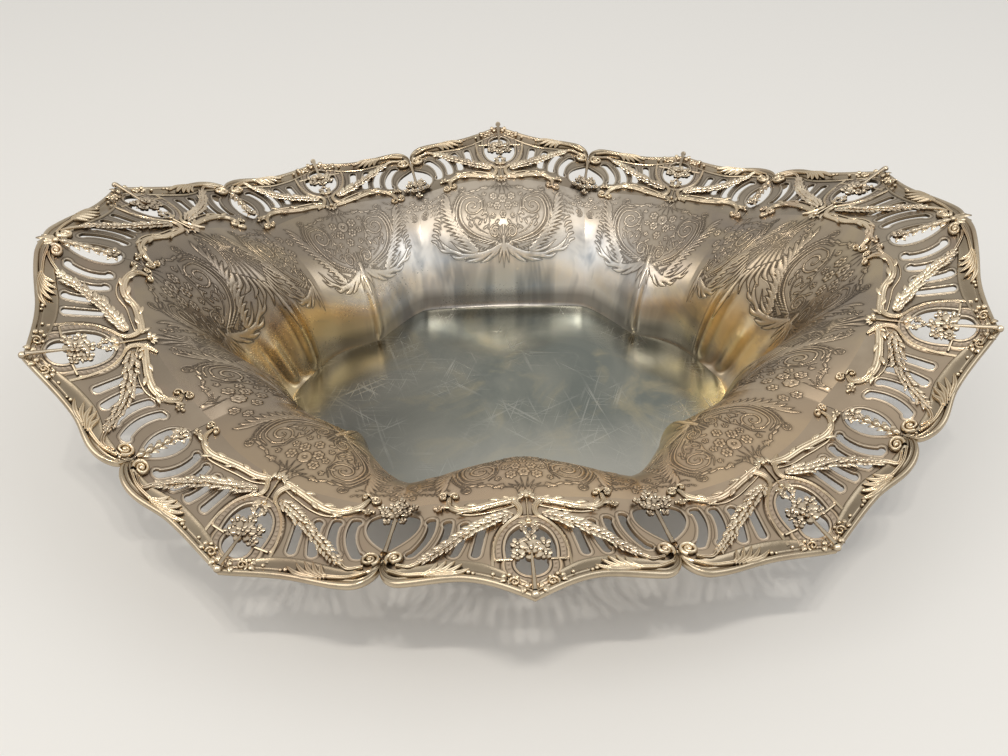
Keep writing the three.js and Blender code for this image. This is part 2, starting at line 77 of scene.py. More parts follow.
def round_the_bowl(quarter):
    """The stations of the whole bowl from those of a quarter, by mirroring."""
    ring = []
    for k in range(STATIONS):
        half = k % 10
        x, y, z = quarter[half if half <= 5 else 10 - half]
        ring.append((-x if 5 < k < 15 else x, -y if k > 10 else y, z))
    return np.array(ring, float)


rims, shoulders, feet = (round_the_bowl(points) for points in (RIM, SHOULDER, FOOT))
reaches, drops, heels = (
    np.abs(round_the_bowl([(v, 0, 0) for v in values])[:, 0]) for values in (REACH, DROP, HEEL))


def parabola(s):
    """Weights of three neighbouring stations at s, from -1 at the first to 1 at the last."""
    return np.stack([s * (s - 1) / 2, 1 - s * s, s * (s + 1) / 2], -1)


def between_stations(u, values):
    """Values along the ring: smooth through the valleys and lobes, with a sharp turn at each ridge."""
    after, before = np.roll(values, -1, 0), np.roll(values, 1, 0)
    slopes = (after - before) / 4
    for station in range(STATIONS):
        if (station - 1) % STATIONS in RIDGES and (station + 1) % STATIONS in RIDGES:
            slopes[station] *= 2
    k = np.floor(u).astype(int) % STATIONS
    a, b = values[k], values[(k + 1) % STATIONS]
    start, end = slopes[k], slopes[(k + 1) % STATIONS]
    t = (u - np.floor(u)).reshape((-1,) + (1,) * (values.ndim - 1))
    ridge, next_ridge = (np.isin(q % STATIONS, RIDGES).reshape(t.shape) for q in (k, k + 1))
    start = np.where(ridge, 1.5 * (b - a) - 0.5 * end, start)
    end = np.where(next_ridge, 1.5 * (b - a) - 0.5 * start, end)
    return a + t * (start + t * (3 * (b - a) - 2 * start - end + t * (2 * (a - b) + start + end)))


def wall_controls(u):
    """The four control points of the wall's curve at each place u round the bowl."""
    u = np.mod(u, STATIONS)
    panel = (np.floor(u / 2) % 10).astype(int)
    three = (2 * panel[:, None] + np.arange(3)) % STATIONS
    top = np.einsum("nk,nkx->nx", parabola(u % 2 - 1), shoulders[three])
    foot, reach, drop, heel = (between_stations(u, values) for values in (feet, reaches, drops, heels))
    crest = top + (foot - top) * reach[:, None]
    crest[:, 2] = top[:, 2] + (foot[:, 2] - top[:, 2]) * drop
    base = foot + (top - foot) * heel[:, None]
    base[:, 2] = foot[:, 2]
    return np.stack([top, crest, base, foot], 1)


def bezier(controls, v):
    """Points at v, one row of v for each curve."""
    v = v[..., None]
    a, b, c, d = (controls[:, None, i] for i in range(4))
    return a * (1 - v) ** 3 + 3 * b * v * (1 - v) ** 2 + 3 * c * v * v * (1 - v) + d * v**3


def down_the_wall(u, distance=None, share=None):
    """Points of the wall at a distance down from the shoulder, or at a share of its length."""
    controls = wall_controls(u)
    samples = np.linspace(0, 1, 49)
    line = bezier(controls, np.broadcast_to(samples, (len(u), len(samples))))
    length = np.concatenate([np.zeros((len(u), 1)), np.linalg.norm(np.diff(line, axis=1), axis=2).cumsum(1)], 1)
    wanted = share * length[:, -1:] if distance is None else distance
    wanted = np.minimum(wanted, length[:, -1:] * 0.9999)
    v = np.array([np.interp(w, row, samples) for w, row in zip(wanted, length)])
    return bezier(controls, v)


def smooth(points, count):
    """A smooth line through a few points."""
    p = np.array(points, float)
    p = np.vstack([2 * p[0] - p[1], p, 2 * p[-1] - p[-2]])
    t = np.linspace(0, len(p) - 3 - 1e-9, count)
    i = t.astype(int)
    f = (t - i)[:, None]
    a, b, c, d = p[i], p[i + 1], p[i + 2], p[i + 3]
    return 0.5 * (2 * b + (c - a) * f + (2 * a - 5 * b + 4 * c - d) * f * f + (3 * b - a - 3 * c + d) * f**3)


def curl(centre, radius, start, turns, count=40, tight=0.12):
    """A volute: a spiral from its outer end, at angle start in degrees, in to its eye."""
    t = np.linspace(0, 1, count)
    r = radius * (1 - t * (1 - tight))
    angle = math.radians(start) + t * turns * 2 * math.pi
    return np.stack([centre[0] + r * np.cos(angle), centre[1] + r * np.sin(angle)], 1)


class Relief:
    """Chased work: strokes on the chart, each raised from the face or cut into it, in mm."""

    def __init__(self):
        self.strokes = []

    def stroke(self, line, width, height, tapers, form="round"):
        line = np.asarray(line, float)
        along = np.linspace(0, 1, len(line))
        taper = np.interp(along, np.linspace(0, 1, len(tapers)), tapers)
        self.strokes.append((line, width / 2 * taper, height * np.sqrt(taper), form))

    def dot(self, places, radius, height, form="round"):
        for place in np.atleast_2d(places):
            self.strokes.append((np.array([place, place + 1e-3]), np.full(2, radius), np.full(2, height), form))
        return self

    def height_and_outline(self, x, y):
        """The height at each place, and the distance in mm outside the nearest stroke's outline."""
        shape = np.broadcast(x, y).shape
        x, y = (np.broadcast_to(v, shape).ravel() for v in (x, y))
        raised, cut, outline = np.zeros(len(x)), np.zeros(len(x)), np.full(len(x), 2.0)
        order = np.argsort(x, kind="stable")
        sorted_x = x[order]
        for line, half, tall, form in self.strokes:
            margin = half.max() + 1.2
            lo, hi = line.min(0) - margin, line.max(0) + margin
            near = order[np.searchsorted(sorted_x, lo[0]):np.searchsorted(sorted_x, hi[0])]
            near = near[(y[near] > lo[1]) & (y[near] < hi[1])]
            if len(near) == 0:
                continue
            p = np.stack([x[near], y[near]], 1)
            best, gap = np.zeros(len(near)), np.full(len(near), 2.0)
            for i in range(len(line) - 1):
                d = line[i + 1] - line[i]
                t = np.clip(((p - line[i]) @ d) / max(d @ d, 1e-12), 0, 1)
                wide = half[i] + (half[i + 1] - half[i]) * t
                away = np.linalg.norm(p - line[i] - t[:, None] * d, axis=1)
                q = away / wide
                gap = np.minimum(gap, away - wide)
                h = tall[i] + (tall[i + 1] - tall[i]) * t
                if form == "cut":
                    value = h * np.clip(1 - q, 0, 1)
                elif form == "leaf":
                    value = h * np.clip(1 - q * q, 0, 1) * (1 - 0.45 * np.exp(-((q / 0.22) ** 2)))
                else:
                    value = h * np.sqrt(np.clip(1 - q * q, 0, 1))
                best = np.maximum(best, value)
            target = cut if form == "cut" else raised
            target[near] = np.maximum(target[near], best)
            outline[near] = np.minimum(outline[near], gap)
        return (raised - cut).reshape(shape), outline.reshape(shape)


def blurred(field, passes):
    """A grid of heights, smoothed."""
    out = field.copy()
    for _ in range(passes):
        padded = np.pad(out, 1, mode="edge")
        out = (padded[:-2, 1:-1] + padded[2:, 1:-1] + padded[1:-1, :-2] + padded[1:-1, 2:] + 2 * out) / 6
    return out


def mesh(name, points, quads, tris=(), crest=None):
    """A mesh in metres from points in mm. crest marks each point from 0 in a hollow to 1 on a crest;
    a second column is the distance to the nearest drawn line, and a third that to the medallion."""
    data = bpy.data.meshes.new(name)
    quads = np.asarray(quads, np.int32).reshape(-1, 4)
    tris = np.asarray(tris, np.int32).reshape(-1, 3)
    points = np.asarray(points, np.float32).reshape(-1, 3)
    data.vertices.add(len(points))
    data.vertices.foreach_set("co", (points * 0.001).ravel())
    loops = np.concatenate([quads.ravel(), tris.ravel()])
    data.loops.add(len(loops))
    data.loops.foreach_set("vertex_index", loops)
    starts = np.concatenate([np.arange(len(quads)) * 4, len(quads) * 4 + np.arange(len(tris)) * 3])
    data.polygons.add(len(starts))
    data.polygons.foreach_set("loop_start", starts.astype(np.int32))
    data.update(calc_edges=True)
    data.validate()
    data.polygons.foreach_set("use_smooth", np.full(len(data.polygons), True))
    values = np.full((len(points), 1), 0.5) if crest is None else np.asarray(crest, float).reshape(len(points), -1)
    for label, column in zip(("crest", "line", "medallion"), values.T):
        layer = data.attributes.new(label, "FLOAT", "POINT")
        layer.data.foreach_set("value", column.astype(np.float32))
    piece = bpy.data.objects.new(name, data)
    bpy.context.scene.collection.objects.link(piece)
    return piece


def grid_quads(rows, columns, start=0, closed=False):
    """Quads of a grid whose rows run outward and columns across, facing up."""
    across = columns if closed else columns - 1
    r, c = np.meshgrid(np.arange(rows - 1), np.arange(across), indexing="ij")
    following = (c + 1) % columns
    corners = [r * columns + c, r * columns + following, (r + 1) * columns + following, (r + 1) * columns + c]
    return start + np.stack(corners, -1).reshape(-1, 4)


def face_normals(points, closed=False):
    """Unit normals of a grid of points, rows outward and columns across."""
    down = np.gradient(points, axis=0)
    if closed:
        across = np.roll(points, -1, axis=1) - np.roll(points, 1, axis=1)
    else:
        across = np.gradient(points, axis=1)
    normals = np.cross(across, down)
    return normals / np.maximum(np.linalg.norm(normals, axis=-1, keepdims=True), 1e-9)


class Wire:
    """A shader socket that can be used in an expression: each operator adds its node."""

    def __init__(self, paint, socket):
        self.paint, self.socket = paint, socket

    def _math(self, operation, *values):
        return self.paint.node("ShaderNodeMath", {"operation": operation}, dict(enumerate(values)))

    def __add__(self, other):
        return self._math("ADD", self, other)

    def __sub__(self, other):
        return self._math("SUBTRACT", self, other)

    def __rsub__(self, other):
        return self._math("SUBTRACT", other, self)

    def __mul__(self, other):
        return self._math("MULTIPLY", self, other)

    def __truediv__(self, other):
        return self._math("DIVIDE", self, other)

    def __rtruediv__(self, other):
        return self._math("DIVIDE", other, self)

    def __abs__(self):
        return self._math("ABSOLUTE", self)

    __radd__, __rmul__ = __add__, __mul__

    def held(self):
        """Kept between 0 and 1."""
        return self._math("MINIMUM", self._math("MAXIMUM", self, 0.0), 1.0)


class Paint:
    """A material under construction."""

    def __init__(self, name):
        self.material = bpy.data.materials.new(name)
        self.material.use_nodes = True
        self.tree = self.material.node_tree
        self.tree.nodes.clear()

    def node(self, kind, settings, inputs, output=0):
        """Adds a node: its type, its settings, and the values or links of its sockets."""
        made = self.tree.nodes.new(kind)
        for key, value in settings.items():
            if key == "stops":
                ramp = made.color_ramp
                while len(ramp.elements) < len(value):
                    ramp.elements.new(1.0)
                for element, (position, colour) in zip(ramp.elements, value):
                    element.position = position
                    element.color = (*colour, 1.0)
            else:
                setattr(made, key, value)
        for key, value in inputs.items():
            socket = made.inputs[key]
            if isinstance(value, Wire):
                self.tree.links.new(value.socket, socket)
            elif hasattr(socket.default_value, "__len__") and len(value) == 3 and len(socket.default_value) == 4:
                socket.default_value = (*value, 1.0)
            else:
                socket.default_value = value
        return Wire(self, made.outputs[output]) if len(made.outputs) else None

    def mix(self, factor, low, high, blend="MIX"):
        """One colour laid over another. Sockets 6 and 7 of the node take the colours."""
        settings = {"data_type": "RGBA", "blend_type": blend, "clamp_result": blend == "MULTIPLY"}
        return self.node("ShaderNodeMix", settings, {0: factor, 6: low, 7: high}, 2)

    def chased(self, tone, *stops):
        """The tone by the crest mark: darkened in the hollows as patina, and bright on the crests as rubbed
            wear and painted highlight; where the mark follows height, painted shade beneath.
        """
        # The ramp's bright end is partly painted highlight.
        wear = self.node("ShaderNodeValToRGB", {"stops": stops}, {"Fac": self.mark("crest")}, "Color")
        return self.mix(1.0, tone, wear, "MULTIPLY")

    def noise(self, scale, detail, roughness, where, distortion=0.0):
        return self.node("ShaderNodeTexNoise", {}, {
            "Vector": where, "Scale": scale, "Detail": detail, "Roughness": roughness, "Distortion": distortion})

    @property
    def place(self):
        return self.node("ShaderNodeTexCoord", {}, {}, "Object")

    def along(self, axis):
        """The place along one axis in metres: 0 for x, 1 for y and 2 for z."""
        return self.node("ShaderNodeSeparateXYZ", {}, {0: self.place}, axis)

    def mark(self, label):
        """What the mesh says at each point."""
        return self.node("ShaderNodeAttribute", {"attribute_name": label}, {}, "Fac")

    def band(self, value, middle, half):
        """1 where value is at middle, falling to 0 at half to either side."""
        return (1.0 - abs(value - middle) / half).held()

    def bump(self, strength, distance, height):
        return self.node("ShaderNodeBump", {}, {"Strength": strength, "Distance": distance, "Height": height})

    def finish(self, colour, roughness, normal=None, metallic=1.0):
        inputs = {"Base Color": colour, "Roughness": roughness, "Metallic": metallic}
        if normal is not None:
            inputs["Normal"] = normal
        surface = self.node("ShaderNodeBsdfPrincipled", {}, inputs)
        self.node("ShaderNodeOutputMaterial", {}, {"Surface": surface})
        return self.material


def fix(piece, paint, node):
    """Paints a piece and puts it in place of its solid."""
    piece.data.materials.append(paint)
    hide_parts(node)
    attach(piece, "root")


# The tone of painted shade, laid where the metal is turned away from the light.
PAINTED_SHADE_TONE = (0.24, 0.20, 0.16)


def painted_shade_towards_the_ends(paint):
    """Painted shade where the metal is turned away from the light: more towards both ends, and most on the left."""
    left = ((-0.03 - paint.along(0)) / 0.05).held()
    ends = ((abs(paint.along(0)) - 0.05) / 0.06).held()
    return (left + ends) * 0.26


def towards_the_front(paint):
    """How far the metal is painted warmer towards the front: partly tarnish, partly painted reflection of warm light.
    """
    return ((-0.035 - paint.along(1)) / 0.03).held()


def wall_silver():
    """Polished and chased silver: grey and gold tarnish in clouds and patches, darker brown streaks low on
    the front and sides, and down the back wall bluish to white streaks of painted reflection, partly
    bluish tarnish; warmer towards the front, partly tarnish and partly painted reflection of warm light;
    painted shade towards both ends and on the left; a dark chased line round every chased form, with
    painted shade fading out from it; and a painted dark band above the floor, painted shade and dark
    reflection."""
    paint = Paint("wall_silver")
    where = paint.place
    streaked = paint.node("ShaderNodeMapping", {}, {"Vector": where, "Scale": (1.0, 1.0, 0.12)})
    cloud = paint.noise(16.0, 3.0, 0.6, where)
    streak = paint.noise(75.0, 3.0, 0.6, streaked, 0.4)
    patch = paint.noise(24.0, 5.0, 0.62, where, 0.8)
    far = ((paint.along(1) - 0.02) / 0.05).held()
    end = ((abs(paint.along(0)) - 0.06) / 0.03).held()
    back = far * (1.0 - end)
    low = ((0.036 - paint.along(2)) / 0.012).held()
    foot = ((0.0115 - paint.along(2)) / 0.005).held() * (0.45 + 0.4 * far)
    tone = paint.mix(((cloud - 0.40) * 4.5).held(), (0.40, 0.335, 0.27), (0.60, 0.49, 0.355))
    # Bluish grey to white streaks down the back wall, brightest low down: painted reflection, partly bluish tarnish.
    reflection_and_tarnish_streaks = paint.mix(((streak - 0.41) * 6.5).held(), (0.45, 0.50, 0.56), (0.99, 1.0, 1.0))
    tone = paint.mix(back * (0.22 + 0.78 * low), tone, reflection_and_tarnish_streaks)
    gold = ((patch - 0.44) * 6.0).held() * (0.3 + 0.65 * low) * (1.0 - back * 0.92)
    tone = paint.mix(gold, tone, (1.0, 0.80, 0.46))
    brown = ((streak - 0.54) * 6.0).held() * (1.0 - far) * 0.45 * low
    tone = paint.mix(brown, tone, (0.20, 0.165, 0.13))
    # Warmer towards the front: partly tarnish, partly painted reflection of warm light.
    tone = paint.mix(towards_the_front(paint) * 0.55, tone, (0.82, 0.595, 0.385))
    # Painted shade towards both ends and on the left, on the upper wall.
    tone = paint.mix(painted_shade_towards_the_ends(paint) * (1.0 - low), tone, PAINTED_SHADE_TONE)
    # Painted dark band above the floor: painted shade and dark reflection where the wall meets it.
    tone = paint.mix(foot * 0.85, tone, (0.17, 0.14, 0.11))
    line = paint.mark("line")
    outline = paint.band(line, 0.1, 0.27)
    inside = (0.0 - line / 0.25).held()
    # Painted shade that fades out from each raised chased form.
    shade = (1.0 - (line + 0.1) / 1.3).held() * (1.0 - inside)
    wear = paint.noise(45.0, 3.0, 0.6, where)
    drawn = ((outline * (0.3 + wear * 0.75) + shade * 0.16) * (1.0 - far * 0.2)).held()
    colour = paint.chased(
        tone, (0.0, (0.30, 0.27, 0.23)), (0.35, (0.75, 0.72, 0.68)), (0.5, (1, 1, 1)), (0.8, (1.35, 1.3, 1.22)))
    # The dark chased line round each form, and the painted shade beside it.
    colour = paint.mix(drawn, colour, (0.055, 0.042, 0.032))
    fine = paint.noise(900.0, 2.0, 0.5, where)
    roughness = 0.2 + cloud * 0.12 + fine * 0.04 + drawn * 0.2 + far * (1.0 - low) * 0.07
    relief = (0.0 - line / 0.3).held() - outline * 0.8 + paint.noise(60.0, 3.0, 0.5, where) * 0.2
    return paint.finish(colour, roughness, paint.bump(0.6, 0.00022, relief), 1.0 - back * (0.1 + 0.4 * low))


wall_paint = wall_silver()


def chased_leaf(relief, points, width, height=0.24):
    """A leaf with a vein, from its stem to its point."""
    relief.stroke(smooth(points, 12), width, height, (0.75, 1, 0.1), "leaf")


def short_leaf(relief, x, y, heading, length, width):
    """A small leaf that bends a little on its way."""
    step = length / 2 * np.array([math.cos(heading), math.sin(heading)])
    chased_leaf(relief, [(x, y), (x, y) + step + (0.3, -0.2), (x, y) + 2 * step], width, 0.18)


def chased_daisy(relief, x, y, radius, petals):
    """A small flower: a ring of domed petals round a middle."""
    for petal in range(petals):
        angle = petal * 2 * math.pi / petals + x
        relief.dot((x + radius * 0.64 * math.cos(angle), y + radius * 0.64 * math.sin(angle)), radius * 0.33, 0.24)
    relief.dot((x, y), radius * 0.22, 0.3)


def scroll_group():
    """Half of a group of scrolls, x out from its middle and y down the wall in mm of the chart."""
    relief = Relief()
    # Great C-scroll: a volute, whose lines run down its outer side and meet at the stem below.
    relief.stroke(curl((14.8, -14.2), 4.8, 95, 1.6, 64, 0.1), 0.85, 0.26, (0.7, 1, 0.45))
    for gap, width in ((0.0, 1.0), (1.9, 0.8), (3.5, 0.6)):
        path = [
            (14.4 - 0.2 * gap, -9.4 + gap), (18.6 + 0.5 * gap, -10.2 + 0.8 * gap), (20.4 + 0.8 * gap, -15.0),
            (19.4 + 0.8 * gap, -21.0 - 0.3 * gap), (15.4 + 0.5 * gap, -26.0 - 0.6 * gap),
            (9.6 + 0.1 * gap, -28.9 - 0.5 * gap), (4.6, -30.4 - 0.3 * gap), (1.4, -32.6 - 0.1 * gap)]
        relief.stroke(smooth(path, 48), width, 0.24, (0.4, 1, 0.9, 0.7, 0.35))
    # Lower volute by the middle, and the stems that join the two.
    relief.stroke(curl((5.2, -26.2), 3.3, 200, -1.6, 48, 0.12), 0.8, 0.26, (0.6, 1, 0.45))
    long_stem = [(8.6, -25.2), (7.6, -20.6), (9.2, -16.6), (9.6, -11.6), (12.2, -8.2)]
    relief.stroke(smooth(long_stem, 28), 0.55, 0.22, (0.4, 1, 0.3))
    short_stem = [(8.9, -27.0), (12.6, -24.8), (14.6, -21.4), (13.6, -19.6), (11.8, -20.4)]
    relief.stroke(smooth(short_stem, 24), 0.5, 0.2, (0.3, 1, 0.5))
    for x, y, heading in (
            (12.4, -22.6, 2.2), (15.6, -23.2, 1.2), (10.4, -24.6, 2.6),
            (16.8, -20.0, 1.6), (10.8, -18.8, 2.4), (14.6, -20.6, 0.9)):
        short_leaf(relief, x, y, heading, 2.6, 0.9)

    # Acanthus plume on the outer side of the C-scroll: long leaves that peel off its spine by turns.
    def spine(t, off):
        run = np.array([20.3 * math.cos(1.75 * t), 27.5])
        run /= math.hypot(*run)
        return np.array([13.4 + 11.6 * math.sin(1.75 * t), -33.0 + 27.5 * t]) + off * np.array([run[1], -run[0]])

    for k in range(13):
        t = 0.06 + 0.076 * k
        reach = 3.8 + 1.6 * math.sin(math.pi * t)
        leaf = [
            spine(max(t - 0.15, 0), 0.1), spine(t - 0.06, 0.26 * reach), spine(t + 0.02, 0.6 * reach),
            spine(t + 0.07, reach)]
        relief.stroke(smooth(leaf, 14), 1.5, 0.23, (0.5, 1, 0.8, 0.1), "leaf")
    for gap in (0.0, 1.3):
        path = [
            (10.0 - gap, -33.4), (17.0 - gap, -30.8 + gap * 0.5), (22.0 - gap, -25.4), (24.0 - gap, -18.6),
            (23.4 - gap, -11.0), (19.8 - gap, -4.8)]
        relief.stroke(smooth(path, 40), 0.6, 0.22, (0.3, 1, 0.3))
    relief.stroke(curl((19.0, -4.6), 1.8, 340, 1.2, 30, 0.2), 0.5, 0.2, (0.6, 1, 0.4))
    # Great leaves that sweep out below, veined, and the pointed leaves that hang in the middle.
    for width, *points in (
            (2.3, (2.4, -31.6), (11.2, -35.0), (19.0, -35.2), (26.2, -31.6)),
            (1.8, (8.8, -34.8), (14.2, -37.4), (18.6, -37.6)),
            (1.5, (16.4, -35.8), (21.6, -36.2), (24.6, -34.4)),
            (1.7, (20.6, -34.4), (26.0, -31.6), (29.8, -26.6)),
            (1.7, (5.4, -33.6), (8.8, -36.8), (12.6, -38.6)),
            (1.3, (23.4, -33.4), (27.6, -32.4), (30.4, -29.8)),
            (1.2, (13.4, -34.6), (19.6, -32.8), (24.4, -28.6))):
        chased_leaf(relief, points, width)
    chased_leaf(relief, [(0, -28.6), (0, -34.4), (0, -40.6)], 2.8, 0.3)
    chased_leaf(relief, [(0.8, -31.5), (2.7, -35.2), (3.6, -38.8)], 1.7)
    chased_leaf(relief, [(1.8, -31.2), (4.8, -34.4), (7.0, -36.6)], 1.5)
    for k in range(5):
        low = -0.4 * k
        path = [(0.6 + 0.7 * k, -23.4 + low), (0.8 + 0.8 * k, -27.0 + low), (2.4 + 1.7 * k, -31.2 + low)]
        relief.stroke(smooth(path, 12), 0.35, 0.16, (0.3, 1, 0.2))
    # Flowers in the middle, and leaves that fill the ground round them.
    for x, y, radius, petals in (
            (0, -11.4, 2.6, 7), (4.8, -10.2, 2.1, 6), (3.2, -15.0, 2.2, 6), (0, -19.0, 2.0, 6),
            (6.8, -14.4, 1.5, 5), (8.0, -5.0, 1.2, 5), (9.2, -8.6, 1.1, 5), (5.6, -19.6, 1.3, 5)):
        chased_daisy(relief, x, y, radius, petals)
    for x, y, heading in (
            (3.0, -21.6, -0.6), (8.8, -18.6, 1.2), (8.4, -5.0, 0.3), (10.8, -5.4, -0.4), (13.4, -6.0, 0.2),
            (16.0, -6.6, 0.2), (0.6, -3.6, 1.2), (12.0, -12.6, 2.6), (11.4, -15.8, 3.0), (9.8, -22.0, 2.0)):
        short_leaf(relief, x, y, heading, 2.4, 1.0)
    # Fine lines that rise from the throat of the neck like a tulip.
    for k in range(4):
        path = [(0.4 + 0.4 * k, 0.0), (0.6 + 0.9 * k, -4.0), (1.4 + 2.1 * k, -8.4 + 1.3 * k)]
        relief.stroke(smooth(path, 14), 0.45, 0.16, (1, 1, 0.2))
    return relief


def corner_group():
    """Commas and short curls that fill the corner below the moulding."""
    relief = Relief()
    for k in range(7):
        base = np.array([24.2 + 1.9 * k, -2.4 - 0.7 * k])
        for width, height, *places in (
                (0.5, 0.16, (0, 0), (0.9, -1.2), (2.2, -1.5)), (0.45, 0.15, (0.4, -3.4), (1.2, -4.4), (2.3, -4.7))):
            relief.stroke(smooth(base + places, 8), width, height, (1, 0.6, 0.2))
    for k in range(12):
        place = np.array([28.6 + 1.5 * (k % 4), -9.6 - 2.3 * (k // 4)])
        relief.stroke([place, place + (0.7, -0.8)], 0.45, 0.15, (1, 0.3))
    return relief


def valley_group():
    """Small volutes that meet at a side valley, their flowers and the faint lines that fall from them."""
    relief = Relief()
    relief.stroke(curl((3.2, -13.4), 2.1, 290, -1.5, 40, 0.14), 0.6, 0.22, (0.6, 1, 0.4))
    for k in range(5):
        base = np.array([8.6 - 0.4 * k, -16.6 - 2.6 * k])
        chased_leaf(relief, [base, base + (1.9, -1.0), base + (3.2, -3.2)], 1.2, 0.18)
    for x, y, radius in ((1.6, -8.0, 1.8), (5.4, -9.4, 1.3), (3.2, -4.8, 1.3)):
        chased_daisy(relief, x, y, radius, 5)
    return relief


def plume_group():
    """Long lines that fan from the necks at the two ends, and the leaves and curls along them."""
    relief = Relief()
    for k in range(5):
        path = [
            (0.3 + 0.5 * k, 0.0), (0.5 + 0.9 * k, -9.0), (1.4 + 1.7 * k, -18.0 + 0.6 * k),
            (3.0 + 2.7 * k, -27.0 + 1.8 * k)]
        relief.stroke(smooth(path, 30), 0.45, 0.2, (0.5, 1, 1, 0.3))
    for k in range(7):
        t = k / 6
        base = np.array([1.2 + 10.4 * t, -25.6 + 7.0 * t])
        heading = math.radians(-86 + 74 * t)
        tip = base + (9.6 - 2.6 * t) * np.array([math.cos(heading), math.sin(heading)])
        turn = np.array([math.sin(heading), -math.cos(heading)])
        chased_leaf(relief, [base, (base + tip) / 2 + 1.4 * turn, tip], 1.9)
    for k in range(5):
        base = np.array([4.6 + 1.5 * k, -4.2 - 2.0 * k])
        relief.stroke(curl(base + (1.0, 0.2), 1.1, 200, 0.8, 14, 0.4), 0.55, 0.2, (1, 0.4))
    chased_leaf(relief, [(0, -30.0), (0, -37.0), (0, -43.0)], 2.4)
    return relief


# The chart of a quarter of the wall, from the end to the middle of a long side. Groups of scrolls
# stand under the end, the quarter valley and the two side peaks.
STATION_WIDE, WALL_DEEP = 40, 60  # mm of the chart from station to station, and down the wall
chasing = Relief()
scrolls, corner, valley, plume = scroll_group(), corner_group(), valley_group(), plume_group()
for group, middle, side, stretch in (
        (scrolls, 0, 1, 1.08), (plume, 40, -1, 0.9), (plume, 40, 1, 0.9), (scrolls, 75, -1, 0.98),
        (scrolls, 120, -1, 1.12), (scrolls, 120, 1, 1.06), (scrolls, 200, -1, 1.0), (corner, 120, 1, 1.0),
        (corner, 200, -1, 1.0), (valley, 160, -1, 1.0), (valley, 160, 1, 1.0)):
    for line, half_wide, tall, form in group.strokes:
        chasing.strokes.append((line * (side * stretch, 1) + (middle, 0), half_wide, tall, form))
for middle, side, y in ((75, 1, -11.0), (79, 1, -15.6), (80, 1, -7.4), (84, 1, -10.6)):
    chased_daisy(chasing, middle, y, 2.0, 6)


def pleats(u, share):
    """Narrow rounded pleats in the lower wall, on the ridges and beside the two ends."""
    height = 0
    for station, wide, tall, top in (
            (0.52, 3.4, 1.3, 0.62), (1.0, 2.6, 1.3, 0.5), (1.2, 1.6, 0.7, 0.52), (3.0, 2.2, 1.0, 0.55)):
        away = (np.abs(np.mod(u + 5, 10) - 5) - station) * STATION_WIDE / wide
        form = tall * (np.exp(-away**2) - 0.35 * np.exp(-((np.abs(away) - 1.7) ** 2) * 2.5))
        height = height + form * np.clip((share - top) / 0.12, 0, 1) * np.clip((0.985 - share) / 0.05, 0, 1)
    return height


PER_STATION = 86  # columns of the wall's mesh from station to station
CHASED_SHARE = 0.75  # the part of the wall that has the fine rows
shares = np.concatenate([np.linspace(0, CHASED_SHARE, 100), np.linspace(CHASED_SHARE, 1, 18)[1:]])
quarter_u = np.linspace(0, 5, 5 * PER_STATION + 1)
quarter = chasing.height_and_outline(STATION_WIDE * quarter_u[None, :], -WALL_DEEP * shares[:, None])
for name, start in (("lobed_wall_back", 0.0), ("lobed_wall_front", 10.0)):
    u = np.linspace(start, start + 10, 10 * PER_STATION + 1)
    points = down_the_wall(u, share=np.broadcast_to(shares, (len(u), len(shares)))).transpose(1, 0, 2)
    height, outline = (np.hstack([v, v[:, -2::-1]]) for v in quarter)
    height *= np.clip(shares / 0.02, 0, 1)[:, None]
    hollow = height - blurred(height, 6)
    fold = pleats(u[None, :], shares[:, None])
    chased = points + face_normals(points) * (height + fold)[..., None]
    # Crest mark: chased hollows darker as patina and their crests lighter as painted highlight; the pleats painted
    # lighter on their crests and darker between, as painted light and shade.
    crest = np.stack([np.clip(0.5 + hollow * 1.6 + (fold - blurred(fold, 14)) * 0.5, 0, 1), outline], -1)
    wall = mesh(name, chased, grid_quads(len(shares), len(u)), crest=crest)
    fix(wall, wall_paint, "bowl_body")

# The flat floor: the middle of the same sheet, inside the foot of the wall. It was hammered flat and
# polished, and has the fine scratches of use.
foot = wall_controls(np.linspace(0, STATIONS, STATIONS * PER_STATION, endpoint=False))[:, 3]
rings = np.linspace(1, 0, 9)[:-1]
floor_points = np.concatenate([foot * (r, r, 1) for r in rings] + [[(0, 0, GAUGE)]])
floor_quads = grid_quads(len(rings), len(foot), closed=True)
last = (len(rings) - 1) * len(foot) + np.arange(len(foot))
floor_tris = np.stack([last, np.roll(last, -1), np.full(len(foot), len(floor_points) - 1)], -1)


